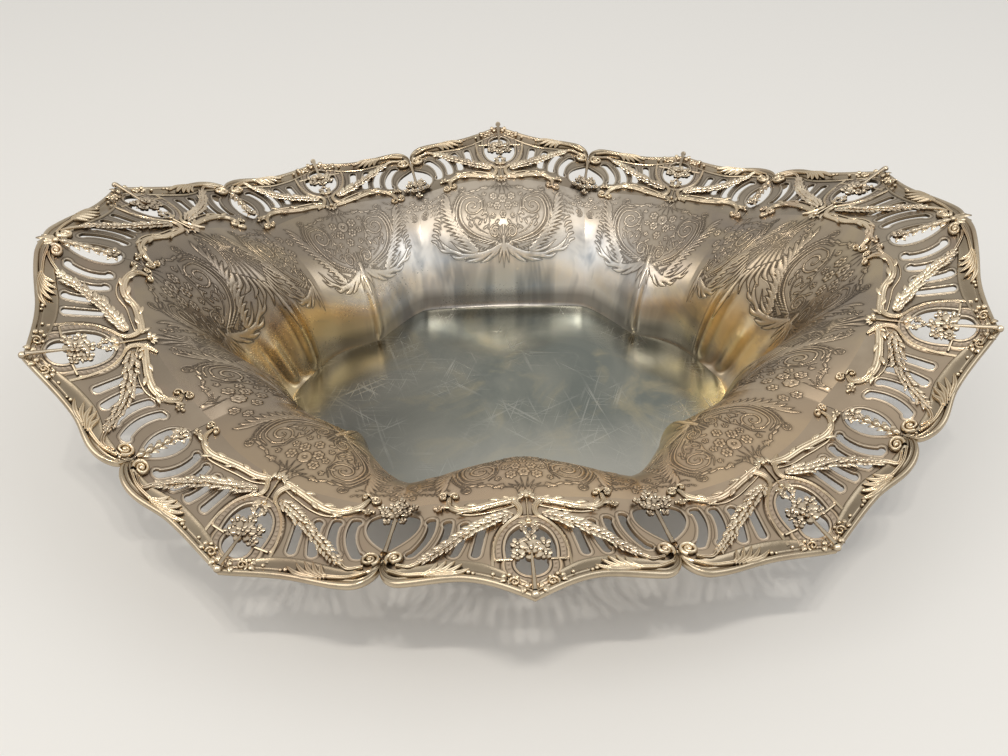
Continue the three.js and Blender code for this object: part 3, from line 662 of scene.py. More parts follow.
def floor_silver():
    """The polished floor: scratched, with clouds of grey and gold tarnish, painted shade towards the left and lighter
    towards the front.
    """
    paint = Paint("floor_silver")
    where = paint.place
    cloud = paint.noise(14.0, 5.0, 0.62, where, 0.8)
    patch = paint.noise(30.0, 4.0, 0.6, where, 1.5)
    tone = paint.mix(((cloud - 0.38) * 4.0).held(), (0.25, 0.27, 0.245), (0.42, 0.42, 0.36))
    tone = paint.mix(((patch - 0.5) * 5.0).held() * 0.6, tone, (0.56, 0.50, 0.34))
    scratch = None
    for turn, fine in ((0.3, 1300.0), (0.9, 1000.0), (1.5, 1500.0), (2.1, 1100.0), (2.8, 1400.0)):
        turned = paint.node("ShaderNodeMapping", {"vector_type": "TEXTURE"}, {
            "Vector": where, "Rotation": (0, 0, turn), "Scale": (1.0, 34.0, 1.0)})
        line = ((paint.noise(fine, 1.0, 0.4, turned) - 0.635) * 10.0).held()
        scratch = line if scratch is None else (scratch + line).held()
    scratch = scratch * ((paint.noise(40.0, 2.0, 0.5, where) - 0.45) * 5.0).held()
    # Painted shade towards the left of the floor.
    left = ((-0.005 - paint.along(0)) / 0.06).held()
    tone = paint.mix(left * 0.78, tone, (0.16, 0.15, 0.13))
    front = ((-0.012 - paint.along(1)) / 0.03).held()
    tone = paint.mix(front * (1.0 - left) * 0.7, tone, (0.62, 0.61, 0.55))
    colour = paint.mix(scratch * 0.3, tone, (0.80, 0.79, 0.72))
    roughness = 0.12 + cloud * 0.14 + scratch * 0.15
    return paint.finish(colour, roughness, paint.bump(0.25, 0.0001, scratch))


fix(mesh("flat_floor", floor_points, floor_quads, floor_tris), floor_silver(), "bowl_body")

# The outside of the wall and the bottom: the other face of the same sheet, a gauge away from the
# inner face, unchased, and duller and darker than the inside: tarnish and painted shade.
under_u = np.linspace(0, STATIONS, 400, endpoint=False)
under_shares = np.concatenate([[0, 0.01], np.linspace(0.05, 1, 26)])
under = down_the_wall(under_u, share=np.broadcast_to(under_shares, (len(under_u), len(under_shares))))
under = under.transpose(1, 0, 2)
under_normals = -face_normals(under, closed=True)
under_normals[-1] = (0, 0, 1)
outer = under + GAUGE * under_normals
outer[-1, :, 2] = 0
outer = np.concatenate([under[:1], outer] + [outer[-1:] * (r, r, 1) for r in (0.75, 0.5, 0.25, 0)])
plain = np.tile([0.5, 2.0], (outer.size // 3, 1))
skin = mesh("wall_underside", outer, grid_quads(len(outer), len(under_u), closed=True)[:, ::-1], crest=plain)
outside = Paint("outside_silver")
stain = outside.noise(26.0, 4.0, 0.6, outside.place)
# Darker tones for the outside: tarnish and painted shade.
tarnish_and_painted_shade = outside.mix(((stain - 0.4) * 4.0).held(), (0.25, 0.23, 0.195), (0.41, 0.375, 0.32))
fix(skin, outside.finish(tarnish_and_painted_shade, 0.34 + stain * 0.16), "bowl_body")

# The ten sections of pierced border. Sheet silver, sawn through with bowed slots, a keyhole
# medallion and a lens in each valley, then chased: every opening has a raised lip, and the
# medallion a band of punched dots.


def unit(vectors):
    """Vectors of length 1 that point the same way."""
    return vectors / np.linalg.norm(vectors, axis=-1, keepdims=True)


CHART_LINE = 17.95  # how far out from the shoulder a section's width is measured
outwards = rims - shoulders
depths = np.linalg.norm(outwards, axis=1)
outwards /= depths[:, None]


class Border:
    """The upper face between two valleys, as a chart in mm: x across the section, y out from the
    shoulder. Below the shoulder y is negative and runs down the wall."""

    def __init__(self, index):
        self.index = index
        three = (2 * index + np.arange(3)) % STATIONS
        self.shoulders, self.outwards = shoulders[three], outwards[three]
        self.peak = depths[three[1]]
        names = ["end", "end_peak", "quarter", "side_peak", "side", "middle"]
        kinds = [names[k % 10 if k % 10 <= 5 else 10 - k % 10] for k in three]
        self.kinds = {1: kinds[0], -1: kinds[2]}
        self.crown = kinds[1]
        ends = parabola(np.array([-1.0, 1.0])) @ (self.shoulders + CHART_LINE * self.outwards)
        self.half = np.linalg.norm(ends[1] - ends[0]) / 2

    def at(self, x, y):
        """Points of the plain face."""
        x, y = np.broadcast_arrays(np.asarray(x, float), np.asarray(y, float))
        s = np.clip(-x / self.half, -1, 1)
        w = parabola(s)
        points = w @ self.shoulders + np.maximum(y, 0)[..., None] * (w @ self.outwards)
        low = y < 0
        if low.any():
            u = 2 * self.index + 1 + s[low] * 0.99999
            points[low] = down_the_wall(u, distance=-y[low][:, None])[:, 0]
        return points

    def seat(self, x, y):
        """Points with the right-hand frame of the face there: across, outward and up."""
        step = 0.06
        across = self.at(np.asarray(x) + step, y) - self.at(np.asarray(x) - step, y)
        outward = self.at(x, np.asarray(y) + step) - self.at(x, np.asarray(y) - step)
        up, outward = unit(np.cross(across, outward)), unit(outward)
        return self.at(x, y), np.cross(outward, up), outward, up


borders = [Border(i) for i in range(10)]

# The edge and the openings beside each kind of valley, in mm out from the shoulder.
LIP = {
    "end": {
        "waist": 32.2, "bulge": 32.6, "notch": 29.5, "mouth": 3.5, "tip": 23.6, "gap": 9,
        "slot": (6.5, 22.6), "spacing": 0.143},
    "quarter": {
        "waist": 34.6, "bulge": 37.6, "notch": 33.5, "mouth": 9.5, "tip": 27.4, "gap": 9,
        "slot": (10.5, 27.4), "spacing": 0.143},
    "side": {
        "waist": 33, "bulge": 34, "notch": 26, "mouth": 3, "tip": 19.4, "gap": 15.2,
        "slot": (7, 22.6), "spacing": 0.131},
}
SLOT_HALF = 1.35  # half the width of a slot
SEAM = 0.1  # left free between a section and the valley


def rim_depth(border, x):
    """How far out the rim's edge lies at x."""
    a = np.abs(np.asarray(x, float)) / border.half
    form = np.where(np.asarray(x) >= 0, 0, 1)
    sides = [LIP[border.kinds[1]], LIP[border.kinds[-1]]]
    waist, bulge, notch = (np.choose(form, [side[key] for side in sides]) for key in ("waist", "bulge", "notch"))
    first = border.peak + (waist - border.peak) * np.sin(np.clip(a / 0.5, 0, 1) * math.pi / 2)
    second = waist + (bulge - waist) * (1 - np.cos(np.clip((a - 0.5) / 0.34, 0, 1) * math.pi)) / 2
    t = np.clip((a - 0.84) / 0.16, 0, 1)
    third = bulge + (notch - bulge) * (1 - np.sqrt(1 - t * t))
    return np.where(a < 0.5, first, np.where(a < 0.84, second, third))


def distance_to(line, x, y):
    """Distance from each point of the chart to a line."""
    best = np.full(np.broadcast(x, y).shape, 1e9)
    for a, b in zip(line[:-1], line[1:]):
        d = b - a
        t = np.clip(((x - a[0]) * d[0] + (y - a[1]) * d[1]) / max(d @ d, 1e-12), 0, 1)
        best = np.minimum(best, np.hypot(x - a[0] - t * d[0], y - a[1] - t * d[1]))
    return best


def outside_of(outline, x, y):
    """Signed distance to a closed outline, positive outside it."""
    loop = np.vstack([outline, outline[:1]])
    inside = np.zeros(np.broadcast(x, y).shape, bool)
    for a, b in zip(loop[:-1], loop[1:]):
        crosses = (a[1] > y) != (b[1] > y)
        inside ^= crosses & (x < (b[0] - a[0]) * (y - a[1]) / (b[1] - a[1] + 1e-12) + a[0])
    return distance_to(loop, x, y) * np.where(inside, -1, 1)


# The medallion's keyhole: a pointed arch with a round foot, and the ring's centre and radius.
arch = smooth([(0.3, 12.0), (3.2, 12.9), (5.7, 15.4), (7.0, 19.2), (7.2, 22.8), (6.9, 26.0)], 30)
RING_AT, RING_RADIUS = 28.2, 4.5
ring_angle = np.linspace(-0.5, math.pi / 2, 22)
ring = np.stack([RING_RADIUS * np.cos(ring_angle), RING_AT + RING_RADIUS * np.sin(ring_angle)], 1)
keyhole = np.vstack([arch, ring, ring[::-1] * (-1, 1), arch[::-1] * (-1, 1)])
long_arch = np.vstack([arch, [(6.9, 40), (-6.9, 40)], arch[::-1] * (-1, 1)])


def slots(kind, half):
    """The middle lines of the four slots of a half section. They bow more towards the valley."""
    inner, outer = LIP[kind]["slot"]
    lines = []
    for i in range(4):
        along = i / 3
        start = np.array([(0.335 + LIP[kind]["spacing"] * i) * half, 11.5 + (inner - 11.5) * along])
        end = np.array([(0.375 + 0.153 * i) * half, 24.4 + (outer - 24.4) * along])
        t = np.linspace(0, 1, 14)[:, None]
        line = start + (end - start) * t
        bow = 0.05 * along * half
        line[:, 0] -= (4 * t * (1 - t))[:, 0] * bow
        cap = unit(end - start) * 1.2
        line[0] += cap
        line[-1] -= cap
        lines.append(line)
    return lines


def lens(kind, half):
    """The outline of the opening that two sections share at a valley."""
    form = LIP[kind]
    along = np.array([0, 0.06, 0.18, 0.34, 0.5, 0.66, 0.8, 0.92, 1])
    width = np.array([0.2, 0.62, 0.95, 1.04, 1.0, 0.82, 0.55, 0.24, 0.04]) * form["gap"]
    y = form["mouth"] + (form["tip"] - form["mouth"]) * along
    side = smooth(np.stack([half - width / 2, y], 1), 40)
    return np.vstack([side, (side * (-1, 1) + (2 * half, 0))[::-1]])


def openings(border, x, y):
    """Distance outside the nearest opening, and from the medallion's arch or ring."""
    near = outside_of(keyhole, x, y)
    for side in (1, -1):
        kind = border.kinds[side]
        here = x * side > -2
        px, py = x[here] * side, y[here]
        best = outside_of(lens(kind, border.half), px, py)
        for line in slots(kind, border.half):
            best = np.minimum(best, distance_to(line, px, py) - SLOT_HALF)
        near[here] = np.minimum(near[here], best)
    frame = np.where(y < 26.4, outside_of(long_arch, x, y), np.hypot(x, y - RING_AT) - RING_RADIUS)
    return near, frame


def medallion_dents():
    """Punched dents along the band of the medallion."""
    band, pitch = 1.95, 1.55
    places = []
    steps = np.linalg.norm(np.diff(arch, axis=0), axis=1)
    total = np.concatenate([[0], steps.cumsum()])
    for reach in np.arange(0.9, total[-1], pitch):
        p = np.array([np.interp(reach, total, arch[:, i]) for i in (0, 1)])
        q = np.array([np.interp(reach + 0.3, total, arch[:, i]) for i in (0, 1)])
        d = unit(q - p)
        spot = p + np.array([d[1], -d[0]]) * band
        if spot[1] < 25.6:
            places.append(spot)
    for angle in np.arange(math.pi / 2, -0.3, -0.26):
        places.append((RING_RADIUS + 1.9) * np.array([math.cos(angle), math.sin(angle)]) + (0, RING_AT))
    places = np.array(places)
    return Relief().dot(np.vstack([places, places * (-1, 1)]), 0.46, 0.5, "cut")


dents = medallion_dents()


def bump_line(distance, centre, half, height):
    """The height of a rounded line at a distance from where it is drawn."""
    return height * np.sqrt(np.clip(1 - ((distance - centre) / half) ** 2, 0, 1))


def sheet_height(x, y, near, frame):
    """Height of the chased face over the plain sheet: a lip round each opening, and round the
    medallion a raised band between two ridges."""
    lip = bump_line(near, 0.25, 0.42, 0.1)
    ridges = bump_line(frame, 0.4, 0.42, 0.3) + bump_line(frame, 3.3, 0.34, 0.32)
    raised = 0.35 * np.clip((3.8 - frame) / 0.35, 0, 1)
    dented = dents.height_and_outline(x, y)[0]
    return np.where(frame < 4.4, raised + ridges + dented, lip)


def pierced(upper, lower, crest, keep):
    """A sheet from two grids of points, kept where keep is positive, with a wall round each opening."""
    rows, columns = keep.shape
    solid = keep > 0
    count = rows * columns
    kinds = crest.shape[-1]
    points_up, points_low, marks = [upper.reshape(-1, 3)], [lower.reshape(-1, 3)], [crest.reshape(-1, kinds)]
    across = np.full((rows, columns), -1)
    outward = np.full((rows, columns), -1)
    for ids, dr, dc in ((across, 0, 1), (outward, 1, 0)):
        a = solid[: rows - dr, : columns - dc]
        b = solid[dr:, dc:]
        r, c = np.nonzero(a != b)
        t = (keep[r, c] / (keep[r, c] - keep[r + dr, c + dc]))[:, None]
        ids[r, c] = count + np.arange(len(r))
        count += len(r)
        for store, grid in ((points_up, upper), (points_low, lower)):
            store.append(grid[r, c] + t * (grid[r + dr, c + dc] - grid[r, c]))
        marks.append(crest[r, c] + t * (crest[r + dr, c + dc] - crest[r, c]))
    full = solid[:-1, :-1] & solid[:-1, 1:] & solid[1:, :-1] & solid[1:, 1:]
    any_solid = solid[:-1, :-1] | solid[:-1, 1:] | solid[1:, :-1] | solid[1:, 1:]
    r, c = np.nonzero(full)
    quads = np.stack([r * columns + c, r * columns + c + 1, (r + 1) * columns + c + 1, (r + 1) * columns + c], -1)
    tris, cuts = [], []
    for r, c in zip(*np.nonzero(any_solid & ~full)):
        corners = [(r, c), (r, c + 1), (r + 1, c + 1), (r + 1, c)]
        edges = [across[r, c], outward[r, c + 1], across[r + 1, c], outward[r, c]]
        loop, leaving = [], []
        for i in range(4):
            here, there = solid[corners[i]], solid[corners[(i + 1) % 4]]
            if here:
                loop.append(corners[i][0] * columns + corners[i][1])
            if here != there:
                loop.append(edges[i])
                if here:
                    leaving.append(len(loop) - 1)
        for i in range(1, len(loop) - 1):
            tris.append((loop[0], loop[i], loop[i + 1]))
        for i in leaving:
            cuts.append((loop[i], loop[(i + 1) % len(loop)]))
    tris = np.array(tris).reshape(-1, 3)
    edge = np.array(cuts).reshape(-1, 2)
    up, low, marks = np.concatenate(points_up), np.concatenate(points_low), np.concatenate(marks)
    side_points = np.concatenate([up[edge[:, 0]], up[edge[:, 1]], low[edge[:, 1]], low[edge[:, 0]]])
    n = len(edge)
    side = 2 * len(up) + np.stack([k * n + np.arange(n) for k in (0, 3, 2, 1)], -1)
    points = np.concatenate([up, low, side_points])
    all_quads = np.concatenate([quads, quads[:, ::-1] + len(up), side])
    all_tris = np.concatenate([tris, tris[:, ::-1] + len(up)])
    # The sawn walls of each opening are marked darker towards the bottom, as painted shade inside the opening.
    plain = [np.tile([level, 9.0, 9.0], (many, 1)) for level, many in ((0.5, len(up)), (0.4, 2 * n), (0.12, 2 * n))]
    marks = np.concatenate([marks] + plain)
    used = np.unique(np.concatenate([all_quads.ravel(), all_tris.ravel()]))
    rename = np.full(len(points), -1)
    rename[used] = np.arange(len(used))
    return points[used], rename[all_quads], rename[all_tris], marks[used]


def sheet_silver():
    """Sawn and chased sheet: satin grey-gold, warmer towards the front, with a painted highlight on the
    lip of each opening, an engraved line beside it and darker lines along the medallion's band, and
    painted shade towards both ends and the back."""
    paint = Paint("sheet_silver")
    where, near, frame = paint.place, paint.mark("line"), paint.mark("medallion")
    cloud = paint.noise(30.0, 4.0, 0.6, where)
    rosy = paint.noise(52.0, 3.0, 0.5, where)
    tone = paint.mix(((cloud - 0.38) * 4.0).held(), (0.375, 0.315, 0.237), (0.565, 0.48, 0.365))
    # Warmer towards the front: partly tarnish, partly painted reflection of warm light.
    tone = paint.mix(towards_the_front(paint) * 0.45, tone, (0.78, 0.585, 0.40))
    back = ((paint.along(1) - 0.03) / 0.03).held()
    # Painted shade towards both ends and the back of the border.
    tone = paint.mix(painted_shade_towards_the_ends(paint) + back * 0.1, tone, PAINTED_SHADE_TONE)
    tone = paint.mix(((rosy - 0.56) * 5.0).held() * 0.4, tone, (0.50, 0.36, 0.27))
    colour = paint.chased(
        tone, (0.0, (0.10, 0.08, 0.06)), (0.38, (0.55, 0.5, 0.44)), (0.54, (1, 1, 1)), (0.85, (1.6, 1.56, 1.48)))
    lip = paint.band(near, 0.22, 0.3)
    engraved = paint.band(near, 0.95, 0.2)
    edges = (paint.band(frame, 4.25, 0.34) + paint.band(frame, 1.0, 0.26) + paint.band(frame, 2.85, 0.24)).held()
    colour = paint.mix(paint.band(frame, 1.9, 1.0) * 0.4, colour, (0.80, 0.64, 0.50))
    # Painted highlight along the lip of each opening.
    colour = paint.mix(lip * 0.55, colour, (0.98, 0.88, 0.72))
    colour = paint.mix((engraved * 0.75 + edges * 0.8).held(), colour, (0.075, 0.055, 0.04))
    grain = paint.noise(500.0, 3.0, 0.5, where) * 0.15
    relief = grain + lip * 0.8 - engraved * 0.7 - edges * 0.6
    return paint.finish(colour, 0.26 + cloud * 0.16, paint.bump(0.5, 0.0002, relief))


MESH_STEP = 0.42  # mm between the points of the sheet's mesh
sheet_paint = sheet_silver()
for border in borders:
    reach = border.half - SEAM
    x, y = np.meshgrid(
        np.linspace(-reach, reach, int(2 * border.half / MESH_STEP) | 1), np.arange(0, 43.0, MESH_STEP))
    near, frame_gap = openings(border, x, y)
    height = sheet_height(x, y, near, frame_gap)
    points = border.at(x, y)
    normals = face_normals(points)
    hollow = height - blurred(height, 5)
    # Crest mark: darker in the hollows of the chasing as patina, lighter on its crests as painted highlight.
    crest = np.stack([np.clip(0.55 + hollow * 1.3, 0, 1), near, frame_gap], -1)
    keep = np.minimum(near, rim_depth(border, x) - 2.2 - y)
    made = pierced(points + normals * height[..., None], points - normals * GAUGE, crest, keep)
    sheet = mesh(f"pierced_sheet_{border.index + 1}", *made)
    fix(sheet, sheet_paint, f"border_panel_{border.index + 1}")

# The cast scroll rims. Each is soldered to the edge of its section: a thick rolled edge, a
# channel, a volute at each valley, acanthus at the waist and beads up to the peak.


def cast_silver():
    """Cast and chased silver, satin gold-grey: lighter on the crests and tops, as rubbed wear and painted
    highlight, and brown in the hollows and beneath, as patina and painted shade.
    """
    paint = Paint("cast_silver")
    where = paint.place
    cloud = paint.noise(34.0, 4.0, 0.6, where)
    rosy = paint.noise(48.0, 3.0, 0.5, where)
    tone = paint.mix(((cloud - 0.38) * 4.0).held(), (0.46, 0.385, 0.285), (0.68, 0.58, 0.44))
    tone = paint.mix(((rosy - 0.55) * 5.0).held() * 0.45, tone, (0.56, 0.41, 0.31))
    colour = paint.chased(
        tone, (0.0, (0.07, 0.05, 0.038)), (0.3, (0.28, 0.235, 0.19)), (0.56, (0.9, 0.88, 0.84)),
        (0.9, (1.5, 1.46, 1.38)))
    bump = paint.bump(0.3, 0.0002, paint.noise(320.0, 3.0, 0.6, where))
    return paint.finish(colour, 0.18 + cloud * 0.15, bump)


ROLL_HIGH, ROLL_HALF = 1.15, 0.95  # the rolled edge
FILLET_AT = 2.75  # the fillet between the roll and the channel
# The section turns under the edge, as (distance in from the edge, height) pairs.
TURNED = [
    (0.8, 1.13), (0.5, 1.0), (0.22, 0.72), (0.04, 0.35), (0.0, 0.0), (0.06, -0.5), (0.3, -1.0), (0.8, -1.4),
    (1.6, -1.6), (3.0, -1.45)]


def rolled_rim(border):
    """The rim of a section, closed at both valleys. At the two ends it stops short for the palmette."""
    ends = [border.half - (0.8 if border.kinds[side] == "end" else 0.12) for side in (1, -1)]
    x = np.linspace(-ends[1], ends[0], 241)
    edge = rim_depth(border, x)
    width = np.interp(np.abs(x) / border.half, [0, 0.15, 0.3, 0.5, 0.84, 1], [5.6, 6.4, 7.3, 7.6, 7.0, 5.0])
    rows, lifts = [], []
    for share in np.linspace(1, 0.19, 34):
        e = width * share
        roll = bump_line(e, ROLL_HALF, ROLL_HALF, ROLL_HIGH)
        fillet = bump_line(e, FILLET_AT, 0.26, 0.62)
        channel = 0.6 - 0.5 * np.sin(np.clip((e - 2.9) / np.maximum(width - 3.6, 0.5), 0, 1) * math.pi)
        inner = bump_line(e, width - 0.5, 0.34, 0.55)
        plain = np.where(e < width - 0.5, np.where(e > FILLET_AT, channel, 0.4), 0.15)
        rows.append(edge - e)
        lifts.append(np.maximum.reduce([roll, fillet, inner, plain]))
    for e, lift in TURNED + [(width, -GAUGE)]:
        rows.append(edge - e)
        lifts.append(np.full(len(x), lift))
    y, lift = np.array(rows), np.array(lifts)
    points, _, _, up = border.seat(np.broadcast_to(x, y.shape), y)
    # Crest mark: darker in the section's hollows as patina, lighter on its crests as painted highlight.
    crest = np.clip(0.5 + (lift - blurred(lift, 4)) * 1.3, 0, 1)
    points = points + up * lift[..., None]
    closed = [np.broadcast_to(points[:, end].mean(0), (len(points), 1, 3)) for end in (0, -1)]
    points = np.concatenate([closed[0], points, closed[1]], 1)
    crest = np.pad(crest, ((0, 0), (1, 1)), mode="edge")
    return mesh(f"rolled_rim_{border.index + 1}", points, grid_quads(*crest.shape), crest=crest)


cast_paint = cast_silver()
for border in borders:
    fix(rolled_rim(border), cast_paint, f"scroll_rim_{border.index + 1}")

# Acanthus, volutes and beads on the rims: cast in one with the rim and chased after casting. The
# rolled edge ends in a volute at each valley, and an acanthus leaf lies over the channel.


class Parts:
    """Small cast parts gathered into one piece. A form is its points, quads and crest marks."""

    def __init__(self):
        self.points, self.quads, self.marks, self.count = [], [], [], 0

    def add(self, points, quads, marks):
        self.points.append(points)
        self.quads.append(quads + self.count)
        self.marks.append(marks)
        self.count += len(points)

    def seat(self, form, border, x, y, angle=0.0, size=1.0, lift=0.0, tilt=0.0):
        """Adds a form on the face, turned in it, with its own +y tilted up by tilt."""
        local, quads, marks = form
        point, across, outward, up = (v[0] for v in border.seat(np.array([x]), np.array([y])))
        ca, sa = math.cos(angle), math.sin(angle)
        ct, st = math.cos(tilt), math.sin(tilt)
        p = local * size
        py, pz = p[:, 1] * ct - p[:, 2] * st, p[:, 1] * st + p[:, 2] * ct
        px, py = p[:, 0] * ca - py * sa, p[:, 0] * sa + py * ca
        self.add(point + px[:, None] * across + py[:, None] * outward + (pz + lift)[:, None] * up, quads, marks)

    def strip(self, border, line, widths, section, heights, lift):
        """Adds a band along a line of the chart. The section is how far across and how high, as shares."""
        line = np.asarray(line, float)
        tangent = unit(np.gradient(line, axis=0))
        left = np.stack([-tangent[:, 1], tangent[:, 0]], 1)
        widths, heights = (np.broadcast_to(v, len(line)) for v in (widths, heights))
        across, rise = section
        chart = line[:, None, :] + left[:, None, :] * (widths[:, None] / 2 * across)[..., None]
        points, _, _, up = border.seat(chart[..., 0], chart[..., 1])
        points = points + up * (lift + heights[:, None] * rise)[..., None]
        # Marks by the section's height: lighter on the ridges, darker between them and at the edges, as painted
        # highlight and painted shade.
        marks = np.tile(np.clip(0.15 + 0.8 * rise, 0, 1), len(line))
        self.add(points.reshape(-1, 3), grid_quads(len(line), len(rise))[:, ::-1], marks)

    def piece(self, name, paint, node, slot):
        made = mesh(name, np.concatenate(self.points), np.concatenate(self.quads), crest=np.concatenate(self.marks))
        fix(made, paint, node)


def fluted(ridges, count, shoulder=0.5):
    """A section with a number of rounded ridges between two low edges."""
    q = np.linspace(-1, 1, count)
    body = np.sqrt(np.clip(1 - q**2, 0, 1)) ** 0.6
    rise = body * (shoulder + (1 - shoulder) * np.abs(np.cos(ridges * math.pi * (q + 1) / 2 + math.pi / 2)))
    rise[0] = rise[-1] = -0.2
    return q, rise


def leaf_form(length, width, rise, curl_down, rows, columns):
    """A small leaf that grows along +y: a vein down the middle, its tip turned down."""
    t = np.linspace(0, 1, rows)[:, None]
    q = np.linspace(-1, 1, columns)[None, :]
    half = width / 2 * np.sin(np.pi * np.clip(t * 0.9 + 0.1, 0, 1)) ** 0.8
    z = rise * (np.sin(t * math.pi * 0.8 + 0.25) - curl_down * t * t) - 0.55 * rise * np.abs(q) ** 1.6
    z = z - 0.3 * rise * (np.abs(q) < 0.1)
    # Marks by height: painted highlight on the leaf's top, painted shade on its lower edges.
    marks = np.clip(0.35 + 0.6 * (z - z.min()) / (z.max() - z.min()), 0, 1)
    points = np.stack([q * half, t * length + 0 * q, z], -1)
    return points.reshape(-1, 3), grid_quads(rows, columns), marks.ravel()


def bead_form(radius, rings, sides):
    """A round bead, open beneath."""
    angle = np.linspace(0, math.pi * 0.62, rings)[:, None]
    turn = np.arange(sides)[None, :] * 2 * math.pi / sides
    x, y = radius * np.sin(angle) * np.cos(turn), radius * np.sin(angle) * np.sin(turn)
    z = radius * np.cos(angle) + 0 * turn
    # Marks by height: painted highlight on top of the bead, painted shade down its sides.
    marks = 0.35 + 0.6 * np.clip(z / radius, 0, 1)
    return np.stack([x, y, z], -1).reshape(-1, 3), grid_quads(rings, sides, closed=True)[:, ::-1], marks.ravel()


def on_rim(border, side, share, inward):
    """The place at a share of the half section and a distance in mm in from the rim's edge."""
    x = share * border.half * side
    return np.array([x, float(rim_depth(border, x)) - inward])


# Volutes as (share of the half section, y, radius).
VOLUTE = {"end": (0.905, 25.6, 2.9), "quarter": (0.91, 29.6, 3.2), "side": (0.915, 23.6, 3.3)}
# Fronds, as shares of the half section at root and tip, and mm in from the edge at root and tip.
FRONDS = [
    (0.70, 0.615, 2.4, 6.9), (0.685, 0.555, 2.0, 7.1), (0.665, 0.50, 1.7, 6.6), (0.64, 0.45, 1.5, 5.4),
    (0.61, 0.40, 1.4, 3.7)]
STEM = [(0.93, 4.0), (0.82, 3.4), (0.72, 2.9), (0.66, 2.6)]
# Beads as (share, mm in, size), and small leaves as (share, mm in, angle, size).
BEADS = [
    (0.405, 2.5, 1.0), (0.375, 2.2, 0.8), (0.25, 3.3, 0.95), (0.19, 2.4, 0.8), (0.15, 4.9, 1.0), (0.1, 5.2, 0.85)]
KNOP_LEAVES = [(0.06, 2.1, -0.3, 1.0), (0.05, 3.9, 0.4, 0.9), (0.17, 2.6, -1.1, 0.9), (0.165, 4.2, -1.3, 0.8)]
bead = bead_form(0.75, 6, 12)
knop_leaf = leaf_form(2.4, 1.9, 1.0, 0.7, 7, 7)
t = np.linspace(0, 1, 22)
frond_wide = np.interp(t, [0, 0.25, 0.6, 0.85, 1], [0.9, 1.7, 1.9, 1.2, 0.1])
frond_tall = np.interp(t, [0, 0.5, 1], [1.2, 1.25, 0.6])
for border in borders:
    parts = Parts()
    for side in (1, -1):
        across, cy, r = VOLUTE[border.kinds[side]]
        cx = across * border.half
        coil = curl((cx, cy), r - 0.7, 62, -1.9, 80, 0.08) * (side, 1)
        parts.strip(border, coil, np.linspace(1.7, 0.9, 80), fluted(1, 11), np.linspace(1.5, 1.1, 80), 0.35)
        parts.seat(bead_form(r - 0.2, 5, 26), border, cx * side, cy, lift=0.45 - r * 0.82)
        parts.seat(bead, border, cx * side, cy, size=1.15, lift=0.9)
        # Fronds fan from the root by the valley towards the peak.
        for j, (root, tip, root_in, tip_in) in enumerate(FRONDS):
            middle = on_rim(border, side, (root + tip) / 2 - 0.012, (root_in + tip_in) / 2 - 1.0)
            line = smooth([on_rim(border, side, root, root_in), middle, on_rim(border, side, tip, tip_in)], 22)
            parts.strip(border, line, frond_wide, fluted(2, 17, 0.62), frond_tall, 0.4 + 0.05 * j)
        # A stem from the volute carries the leaf; beads follow it along the channel.
        stem = smooth([on_rim(border, side, share, inward) for share, inward in STEM], 24)
        parts.strip(border, stem, np.linspace(1.0, 1.6, 24), fluted(2, 13), 1.1, 0.5)
        for share, inward, size in BEADS:
            parts.seat(bead, border, *on_rim(border, side, share, inward), size=size, lift=0.8)
        # A curl and small leaves beside the peak.
        knop = curl(on_rim(border, side, 0.118, 3.0) * (side, 1), 1.7, 40, -1.35, 36, 0.15) * (side, 1)
        parts.strip(border, knop, np.linspace(1.1, 0.7, 36), fluted(1, 9), 1.0, 0.35)
        for share, inward, angle, size in KNOP_LEAVES:
            parts.seat(knop_leaf, border, *on_rim(border, side, share, inward), angle * side, size, 1.0, 0.35)
    parts.piece(f"rim_acanthus_{border.index + 1}", cast_paint, f"scroll_rim_{border.index + 1}", "cast_silver")

# Necks and mouldings. A bundle of fluted lines rises round each medallion, closes to a throat and
# parts over the shoulder, where it runs on as a leafy moulding. Cast with the border; it hides the
# joint to the wall.


def blossom_form(radius, petals, rise, rings, spokes):
    """A flower: notched petals round a domed middle."""
    n = petals * spokes
    r = np.linspace(0, 1, rings)[:, None]
    angle = np.arange(n)[None, :] * 2 * math.pi / n
    lobe = np.abs(np.cos(petals * angle / 2))
    reach = radius * (0.6 + 0.4 * lobe**0.6)
    x, y = r * reach * np.cos(angle), r * reach * np.sin(angle)
    dome = 0.95 * np.sqrt(np.clip(1 - (r / 0.26) ** 2, 0, 1))
    petal = 0.5 + 0.32 * np.sin(np.clip((r - 0.26) / 0.74, 0, 1) * math.pi * 0.7)
    crease = 0.7 * (1 - lobe) ** 1.4 * np.clip((r - 0.2) * 2, 0, 1)
    z = rise * np.where(r < 0.26, np.maximum(dome, 0.3), petal - crease)
    # Marks by height, with a darker ring round the middle: painted highlight on the petals, painted shade in the ring
    # and under the petals' edge.
    marks = np.clip(0.1 + 0.9 * z / rise - 0.4 * (np.abs(r - 0.28) < 0.08), 0, 1)
    top = np.stack([x, y, z], -1)
    edge = np.stack([x[-1], y[-1], np.full(n, -0.4 * rise)], -1)
    points = np.concatenate([top.reshape(-1, 3), top[-1], edge])
    quads = np.concatenate([grid_quads(rings, n, closed=True), grid_quads(2, n, rings * n, closed=True)])[:, ::-1]
    return points, quads, np.concatenate([marks.ravel(), np.full(n, 0.35), np.full(n, 0.05)])


NECK = [
    (10.7, 30.0), (10.7, 25.0), (10.3, 20.4), (9.0, 15.6), (6.2, 11.4), (3.2, 8.8), (2.3, 6.4), (3.0, 3.8),
    (5.0, 1.6), (7.6, 0.2)]
